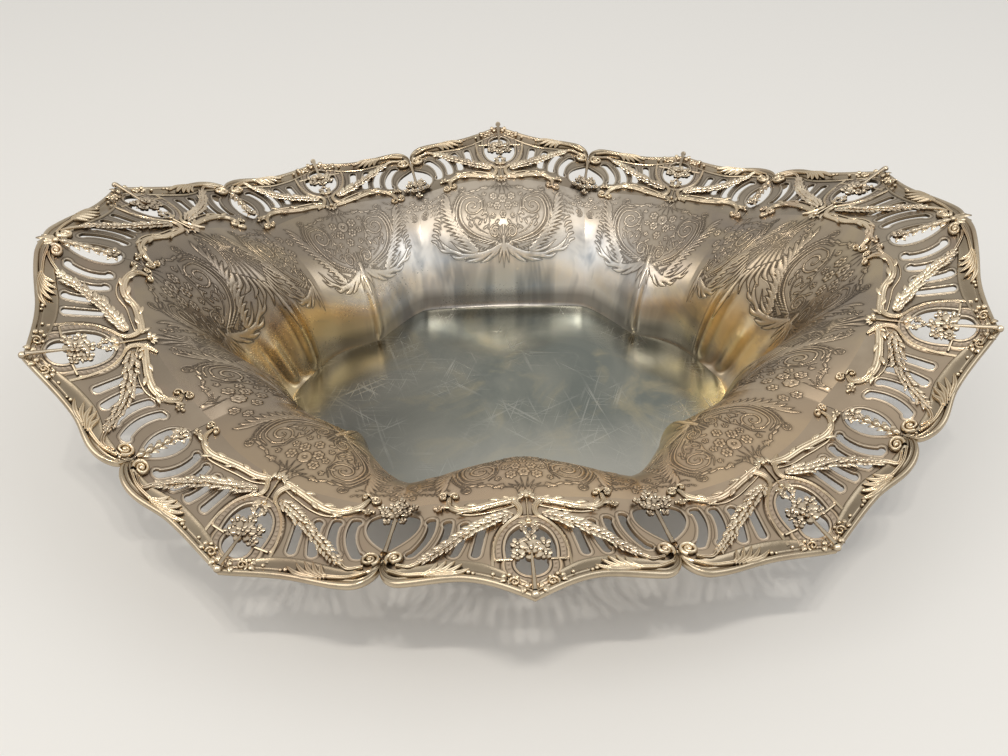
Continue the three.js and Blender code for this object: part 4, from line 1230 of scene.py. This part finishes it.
# The moulding's line beside each peak towards each kind of valley, as (share of the half section, y).
MOULDING = {
    ("end_peak", "end"): [
        (0.10, 1.6), (0.24, 0.9), (0.39, 0.9), (0.53, 3.2), (0.66, 3.3), (0.78, 1.2), (0.87, -2.4), (0.90, -6.0)],
    ("end_peak", "quarter"): [
        (0.10, 3.2), (0.25, 5.3), (0.43, 7.6), (0.56, 8.3), (0.66, 7.0), (0.70, 4.2), (0.66, 1.5)],
    ("side_peak", "quarter"): [
        (0.09, 1.8), (0.22, 3.2), (0.39, 3.9), (0.54, 5.6), (0.68, 7.6), (0.80, 7.6), (0.88, 5.2), (0.90, 1.6)],
    ("side_peak", "side"): [
        (0.09, 0.8), (0.25, 2.3), (0.38, 4.2), (0.50, 5.6), (0.61, 5.2), (0.71, 2.4), (0.76, -1.9)],
    ("middle", "side"): [
        (0.09, 1.4), (0.19, 2.2), (0.31, 3.5), (0.43, 4.6), (0.53, 4.4), (0.61, 2.0), (0.61, -1.8)],
}
small_leaf = leaf_form(3.3, 1.6, 0.62, 0.5, 7, 5)
long_leaf = leaf_form(5.2, 1.7, 0.8, 0.6, 9, 7)
floret = blossom_form(1.5, 5, 1.1, 8, 6)
bundle = fluted(3, 29, 0.72)
t = np.linspace(0, 1, 90)
neck_wide = np.interp(t, [0, 0.35, 0.5, 0.62, 0.78, 0.9, 1], [1.0, 1.2, 1.4, 2.0, 2.3, 2.1, 1.1])
neck_tall = np.interp(t, [0, 0.15, 0.5, 0.75, 1], [0.3, 0.55, 0.85, 1.15, 0.8])
moulding_wide = np.interp(t, [0, 0.15, 0.5, 0.85, 1], [1.9, 2.9, 3.2, 2.5, 1.4])
moulding_tall = np.interp(t, [0, 0.15, 0.8, 1], [0.7, 1.0, 1.15, 0.9])
fillet_away = 3.1 * np.sin(np.clip(t * 1.35, 0, 1) * math.pi) ** 0.6
for border in borders:
    parts = Parts()
    for side in (1, -1):
        parts.strip(border, smooth(NECK, 90) * (side, 1), neck_wide, bundle, neck_tall, 0.05)
        cross_bar = [(side * (5.2 + 0.55 * i), 26.4) for i in range(9)]
        parts.strip(border, cross_bar, 1.1, fluted(1, 9), 0.45, 0.3)
        course = [(share * border.half * side, y) for share, y in MOULDING[border.crown, border.kinds[side]]]
        line = smooth([(4.4 * side, 2.4)] + course, 90)
        parts.strip(border, line, moulding_wide, bundle, moulding_tall, 0.05)
        # A plain fillet runs along its outer side.
        run = unit(np.gradient(line, axis=0))
        aside = np.stack([-run[:, 1], run[:, 0]], 1) * side * fillet_away[:, None]
        parts.strip(border, (line + aside)[2:66], 0.85, fluted(1, 9), 0.5, 0.05)
        # It ends in two curls, one round a floret and one round a bead.
        tangent = unit(line[-1] - line[-6])
        normal = np.array([tangent[1], -tangent[0]]) * side
        for reach, turns, turned, eye in ((2.0, side * 1.3, 0, floret), (-1.7, -side * 1.1, math.pi, bead)):
            centre = line[-1] - normal * reach
            start = math.degrees(math.atan2(normal[1], normal[0]) + turned)
            end_curl = curl(centre, abs(reach), start, turns, 30, 0.15)
            parts.strip(border, end_curl, np.linspace(1.3, 0.7, 30), fluted(1, 11), 1.2, 0.1)
            parts.seat(eye, border, *centre, size=0.8, lift=0.6)
        for k, form in enumerate((bead, floret, bead)):
            spot = line[-14] + np.array([side * (1.6 + 1.5 * k), 0.9 + 0.5 * (k % 2)])
            parts.seat(form, border, *spot, k, 0.95, 0.4)
        # Long leaves lie along the moulding and turn off it by turns.
        for k in range(8):
            i = 8 + 9 * k
            d = unit(line[i + 1] - line[i])
            heading = math.atan2(d[1], d[0]) - math.pi / 2
            edge = side if k % 2 else -side
            spot = line[i] + np.array([-d[1], d[0]]) * edge * moulding_wide[i] * 0.2
            size = 0.9 - 0.25 * abs(k - 4) / 4
            parts.seat(long_leaf, border, *spot, heading + edge * 0.34, size, 0.85, 0.07)
    # A bead and leaves in the throat, and a small tassel over the wall.
    for angle, size in ((0, 0.8), (0.6, 0.75), (-0.6, 0.75), (1.2, 0.7), (-1.2, 0.7)):
        x, y = 0.9 * math.sin(angle), 0.4 - 0.7 * math.cos(angle)
        parts.seat(small_leaf, border, x, y, math.pi + angle, size, 0.55, 0.15)
    parts.strip(border, [(0, y) for y in np.linspace(1.0, 10.6, 20)], 0.8, fluted(1, 9), 0.7, 0.2)
    parts.seat(bead, border, 0, 10.8, size=1.3, lift=0.5)
    parts.seat(bead, border, 0, 0.4, size=1.2, lift=0.9)
    for angle in (0.6, -0.6, 1.25, -1.25):
        parts.seat(small_leaf, border, math.copysign(0.5, angle), 11.0, -angle, 0.9, 0.5, 0.2)
    parts.piece(f"neck_and_moulding_{border.index + 1}", cast_paint, f"border_panel_{border.index + 1}", "cast_silver")

# Garlands: two narrow arms of laurel with berries on each section, cast and soldered on, that end
# in a fluted ribbon drawn into the volute.


def flower_silver():
    """Cast leaves and flowers: pale, lighter on top as rubbed wear and painted highlight, and brown beneath as painted
    shade.
    """
    paint = Paint("flower_silver")
    cloud = paint.noise(60.0, 3.0, 0.6, paint.place)
    tone = paint.mix(((cloud - 0.38) * 4.0).held(), (0.50, 0.42, 0.325), (0.74, 0.64, 0.50))
    colour = paint.chased(
        tone, (0.0, (0.05, 0.037, 0.028)), (0.28, (0.22, 0.18, 0.145)), (0.54, (0.82, 0.79, 0.74)),
        (0.88, (1.45, 1.42, 1.36)))
    return paint.finish(colour, 0.15 + cloud * 0.13)


GARLAND = {
    "side": [
        (4.6, 7.6), (8.2, 9.3), (12.0, 11.2), (15.8, 13.4), (19.6, 16.0), (23.2, 19.0), (26.8, 22.4), (30.4, 25.2)],
    "quarter": [
        (4.8, 7.2), (9.2, 9.4), (14.0, 11.7), (18.8, 14.4), (23.2, 18.0), (26.8, 22.2), (29.6, 26.4), (31.8, 30.0)],
    "end": [(4.8, 6.4), (8.6, 7.6), (13.0, 9.2), (17.6, 11.6), (22.0, 14.8), (26.2, 18.8), (29.6, 23.0)],
}
WIDEST = 4.3
flower_paint = flower_silver()
laurel = leaf_form(3.9, 1.5, 0.75, 0.5, 8, 7)
berry = bead_form(0.55, 5, 10)
shuffle = np.random.default_rng(11)
for border in borders:
    parts = Parts()
    for side in (1, -1):
        kind = border.kinds[side]
        across, cy, r = VOLUTE[kind]
        cx = across * border.half
        below = (cx - r - 0.9, cy + 1.6) if kind == "end" else (cx - r - 1.6, cy + r + 0.4)
        line = smooth(GARLAND[kind] + [below, (cx - 1.0, cy + r - 0.6)], 140) * (side, 1)
        reached = np.concatenate([[0], np.linalg.norm(np.diff(line, axis=0), axis=1).cumsum()])
        part = reached / reached[-1]
        width = np.interp(part, [0, 0.08, 0.3, 0.6, 0.8, 1], [2.6, WIDEST, 4.0, 3.1, 1.7, 1.1])
        # Under the leaves the ribbon is narrow, and past them it takes the whole width.
        ribbon = width * np.where(part < 0.74, 0.42, 1)
        parts.strip(border, line, ribbon, fluted(2, 25), np.interp(part, [0.6, 0.8], [0.8, 1.1]), 0.2)
        place, row = 0.3, 0
        while place < reached[-1] * 0.78:
            i = int(np.interp(place, reached, np.arange(140)))
            d = unit(line[min(i + 1, 139)] - line[max(i - 1, 0)])
            heading = math.atan2(d[1], d[0]) - math.pi / 2
            left = np.array([-d[1], d[0]])
            size = 0.42 + 0.58 * width[i] / WIDEST
            for across, turn, lift in ((0.2, 0.42, 0.7), (-0.2, -0.42, 0.7), (0.0, 0.0, 1.15)):
                turn += shuffle.uniform(-0.26, 0.26)
                spot = line[i] + left * across * width[i] + d * (0.0 if across else 0.9)
                leaf_size = size * shuffle.uniform(0.85, 1.08)
                parts.seat(laurel, border, *spot, heading + turn, leaf_size, lift * size, 0.2)
            if row % 2:
                for across in (0.4, -0.4):
                    spot = line[i] + left * across * width[i] + d * 1.3
                    parts.seat(berry, border, *spot, size=size * shuffle.uniform(0.8, 1.15), lift=0.8 * size)
            place += shuffle.uniform(1.6, 2.3) * size
            row += 1
    parts.piece(f"laurel_garland_{border.index + 1}", flower_paint, f"garland_{border.index + 1}", "flower_silver")

# Medallion flowers: a knot of small cast blossoms and leaves in the keyhole, on a tapered pin that
# runs over the rim to a bead at the peak.


def tube(path, radii, sides=10):
    """A round bar along a path of points in mm."""
    tangent = unit(np.gradient(path, axis=0))
    guide = np.array([0.0, 0.0, 1.0]) if abs(tangent[0][2]) < 0.9 else np.array([1.0, 0.0, 0.0])
    side = unit(np.cross(tangent, guide))
    up = np.cross(side, tangent)
    angle = np.arange(sides) * 2 * math.pi / sides
    ring = side[:, None] * np.cos(angle)[None, :, None] + up[:, None] * np.sin(angle)[None, :, None]
    points = path[:, None] + ring * radii[:, None, None]
    return points.reshape(-1, 3), grid_quads(len(path), sides, closed=True), np.full(len(path) * sides, 0.62)


great = blossom_form(3.6, 6, 1.15, 11, 10)
crown = blossom_form(2.1, 5, 1.0, 9, 8)
lesser = blossom_form(2.1, 5, 0.95, 9, 8)
bud = blossom_form(1.45, 4, 0.9, 8, 8)
spray_leaf = leaf_form(4.2, 1.7, 0.8, 0.6, 8, 7)
# Leaves as (x, y, angle, size) and blossoms as (x, y, form, size, lift), for the right half of the
# knot. Each has its mirror image on the left, but for the two blossoms near the middle.
KNOT_LEAVES = [(2.0, 22.6, -1.45, 0.95), (2.2, 26.0, -1.75, 0.85), (2.2, 20.6, -0.85, 1.0), (0.9, 16.4, -2.8, 0.8)]
KNOT = [
    (3.7, 21.2, lesser, 1.05, 0.9), (0.1, 19.6, lesser, 1.05, 1.0), (3.9, 25.4, lesser, 0.95, 0.8),
    (1.7, 14.2, bud, 0.9, 0.5), (0.0, 16.6, bud, 0.7, 0.5)]
for border in borders:
    parts = Parts()
    for x, y, angle, size in KNOT_LEAVES:
        for side in (1, -1):
            parts.seat(spray_leaf, border, side * x, y, side * angle, size, 0.45, 0.1)
    parts.seat(great, border, 0, 23.9, 0.3, 1.08, 0.9)
    parts.seat(crown, border, 0, 23.9, 1.0, 1.05, 1.7)
    for x, y, form, size, lift in KNOT:
        for side in (1, -1) if x > 1 else (1,):
            parts.seat(form, border, side * x, y, side * 0.4 * x, size, lift)
    t = np.linspace(0, 1, 14)
    y = 24.6 + (border.peak - 1.0 - 24.6) * t
    base, _, _, up = border.seat(0 * y, y)
    parts.add(*tube(base + up * (1.3 + 1.3 * t)[:, None], np.interp(t, [0, 0.2, 1], [0.75, 0.5, 0.8])))
    parts.seat(bead_form(1.25, 9, 16), border, 0, border.peak - 0.3, lift=2.0)
    posy_name = f"medallion_posy_{border.index + 1}"
    parts.piece(posy_name, flower_paint, f"medallion_flower_{border.index + 1}", "flower_silver")

# Valley sprays: a posy on a thin stem in the four side lenses, and elsewhere a stem of husks with a
# flower at its inner end. Cast, and soldered to both sections.


def along_seam(border, after, y):
    """Points of the seam between two sections, and the direction up from it."""
    points, _, _, up = border.seat(np.full(len(y), border.half), y)
    return points, unit(up + after.seat(np.full(len(y), -after.half), y)[3])


def beside_seam(border, after, first, inset):
    """The section on one side of the seam, the first or the one after, and x at inset mm from the seam."""
    return (border, border.half - inset) if first else (after, inset - after.half)


# Blossoms of the posy, as (mm across from the seam, y, form, size, lift).
POSY = [
    (0, 5.2, great, 0.7, 2.3), (3.4, 5.2, lesser, 0.85, 1.7), (-3.4, 5.1, lesser, 0.85, 1.7),
    (5.0, 2.4, lesser, 0.75, 1.3), (-5.0, 2.3, lesser, 0.75, 1.3), (1.9, 1.6, lesser, 0.85, 1.8),
    (-1.9, 1.5, lesser, 0.85, 1.8), (2.6, 8.0, bud, 0.9, 1.3), (-2.6, 7.9, bud, 0.9, 1.3), (0, -1.4, bud, 1.1, 1.4)]
for k, border in enumerate(borders):
    after = borders[k - 1]
    kind = border.kinds[1]
    form = LIP[kind]
    parts = Parts()
    outer = form["notch"] - 4.5
    inner = 5.0 if kind == "side" else form["mouth"] + 3.0
    t = np.linspace(0, 1, 20 if kind == "side" else 60)
    seam, up = along_seam(border, after, outer + (inner - outer) * t)
    if kind == "side":
        parts.add(*tube(seam + up * (1.0 + 0.9 * t)[:, None], np.interp(t, [0, 0.1, 0.5, 1], [1.3, 0.75, 0.6, 0.9])))
        for across, y, shape, size, lift in POSY:
            which, x = beside_seam(border, after, across <= 0, abs(across))
            parts.seat(shape, which, x, y, across, size, lift)
        for angle in (0.9, -0.9, 1.7, -1.7, 2.6, -2.6):
            which, x = beside_seam(border, after, angle > 0, 0.6)
            parts.seat(spray_leaf, which, x, 4.6, angle * 0.9, 0.9, 0.9)
    else:
        husks = 0.5 + 0.8 * np.abs(np.sin(t * math.pi * 5)) ** 1.4
        parts.add(*tube(seam + up * 0.9, husks, 12))
        for j in range(5):
            y = outer + (inner - outer) * (0.1 + 0.18 * j)
            for angle in (2.5, -2.5):
                which, x = beside_seam(border, after, angle > 0, 0.2)
                parts.seat(small_leaf, which, x, y, angle, 0.95, 0.8)
        parts.seat(lesser, border, border.half - 0.05, inner, size=1.15, lift=1.2)
        for angle in (1.2, -1.2, 2.2, -2.2, 0.4, -0.4):
            which, x = beside_seam(border, after, angle > 0, 0.1)
            parts.seat(small_leaf, which, x, inner, angle, 1.1, 0.8)
    parts.piece(f"valley_posy_{k + 1}", flower_paint, f"valley_spray_{k + 1}", "flower_silver")

# Palmettes: five cast leaves round a bead at either end of the bowl, soldered in the notch where
# the rims of two sections meet.
for number, border, after in ((1, borders[0], borders[9]), (2, borders[5], borders[4])):
    parts = Parts()
    for angle, size in ((0.05, 1.5), (0.4, 1.35), (-0.4, 1.35), (0.85, 1.1), (-0.85, 1.1)):
        which, x = beside_seam(border, after, angle > 0, 0.05)
        parts.seat(spray_leaf, which, x, 26.4, angle, size, 0.3)
    parts.seat(bead, border, border.half - 0.05, 26.0, size=1.6, lift=0.6)
    parts.piece(f"end_palmette_{number}", cast_paint, f"end_leaf_{number}", "cast_silver")

# The picture: a pale matt table, a large soft lamp on either side in front, three small lamps in a
# row for the glints, an even grey room, and the camera fitted to the photograph.
stage = bpy.data.meshes.new("table")
stage.from_pydata([(-3, -3, 0), (3, -3, 0), (3, 3, 0), (-3, 3, 0)], [], [(0, 1, 2, 3)])
table = bpy.data.objects.new("table", stage)
bpy.context.scene.collection.objects.link(table)
table.data.materials.append(Paint("table_paint").finish((0.80, 0.79, 0.77), 0.7, metallic=0.0))


def softbox(name, place, target, width, power, colour):
    """A square area lamp, turned towards the target."""
    light = bpy.data.lights.new(name, "AREA")
    light.size = width
    light.energy = power
    light.color = colour
    lamp = bpy.data.objects.new(name, light)
    lamp.location = place
    lamp.rotation_euler = (Vector(target) - Vector(place)).to_track_quat("-Z", "Y").to_euler()
    bpy.context.scene.collection.objects.link(lamp)


softbox("key_softbox", (-0.9, -0.5, 1.3), (0, 0, 0.03), 1.1, 6.5, (1.0, 0.96, 0.9))
softbox("fill_softbox", (1.0, -0.2, 1.2), (0, 0, 0.03), 0.95, 3.8, (0.94, 0.97, 1.0))
for i in (-1, 0, 1):
    softbox(f"lamp_{i + 2}", (0.09 * i, -0.35, 1.1), (0, 0.05, 0.03), 0.035, 0.95, (1.0, 0.94, 0.85))
world = bpy.data.worlds.new("studio")
world.use_nodes = True
background = world.node_tree.nodes["Background"]
background.inputs["Color"].default_value = (0.64, 0.63, 0.61, 1)
background.inputs["Strength"].default_value = 0.95
bpy.context.scene.world = world

PICTURE_WIDE, FOCAL_LENGTH = 1008, 900  # in pixels
SENSOR_WIDE = 36  # mm
camera_data = bpy.data.cameras.new("camera")
camera_data.sensor_width = SENSOR_WIDE
camera_data.lens = FOCAL_LENGTH / PICTURE_WIDE * SENSOR_WIDE
camera_data.clip_start = 0.01
camera = bpy.data.objects.new("camera", camera_data)
camera.location = (-0.0144, -0.2778, 0.2621)
camera.rotation_euler = Vector((0.0311, 0.7416, -0.6702)).to_track_quat("-Z", "Y").to_euler()
bpy.context.scene.collection.objects.link(camera)
bpy.context.scene.camera = camera
bpy.context.scene.view_settings.view_transform = "Standard"
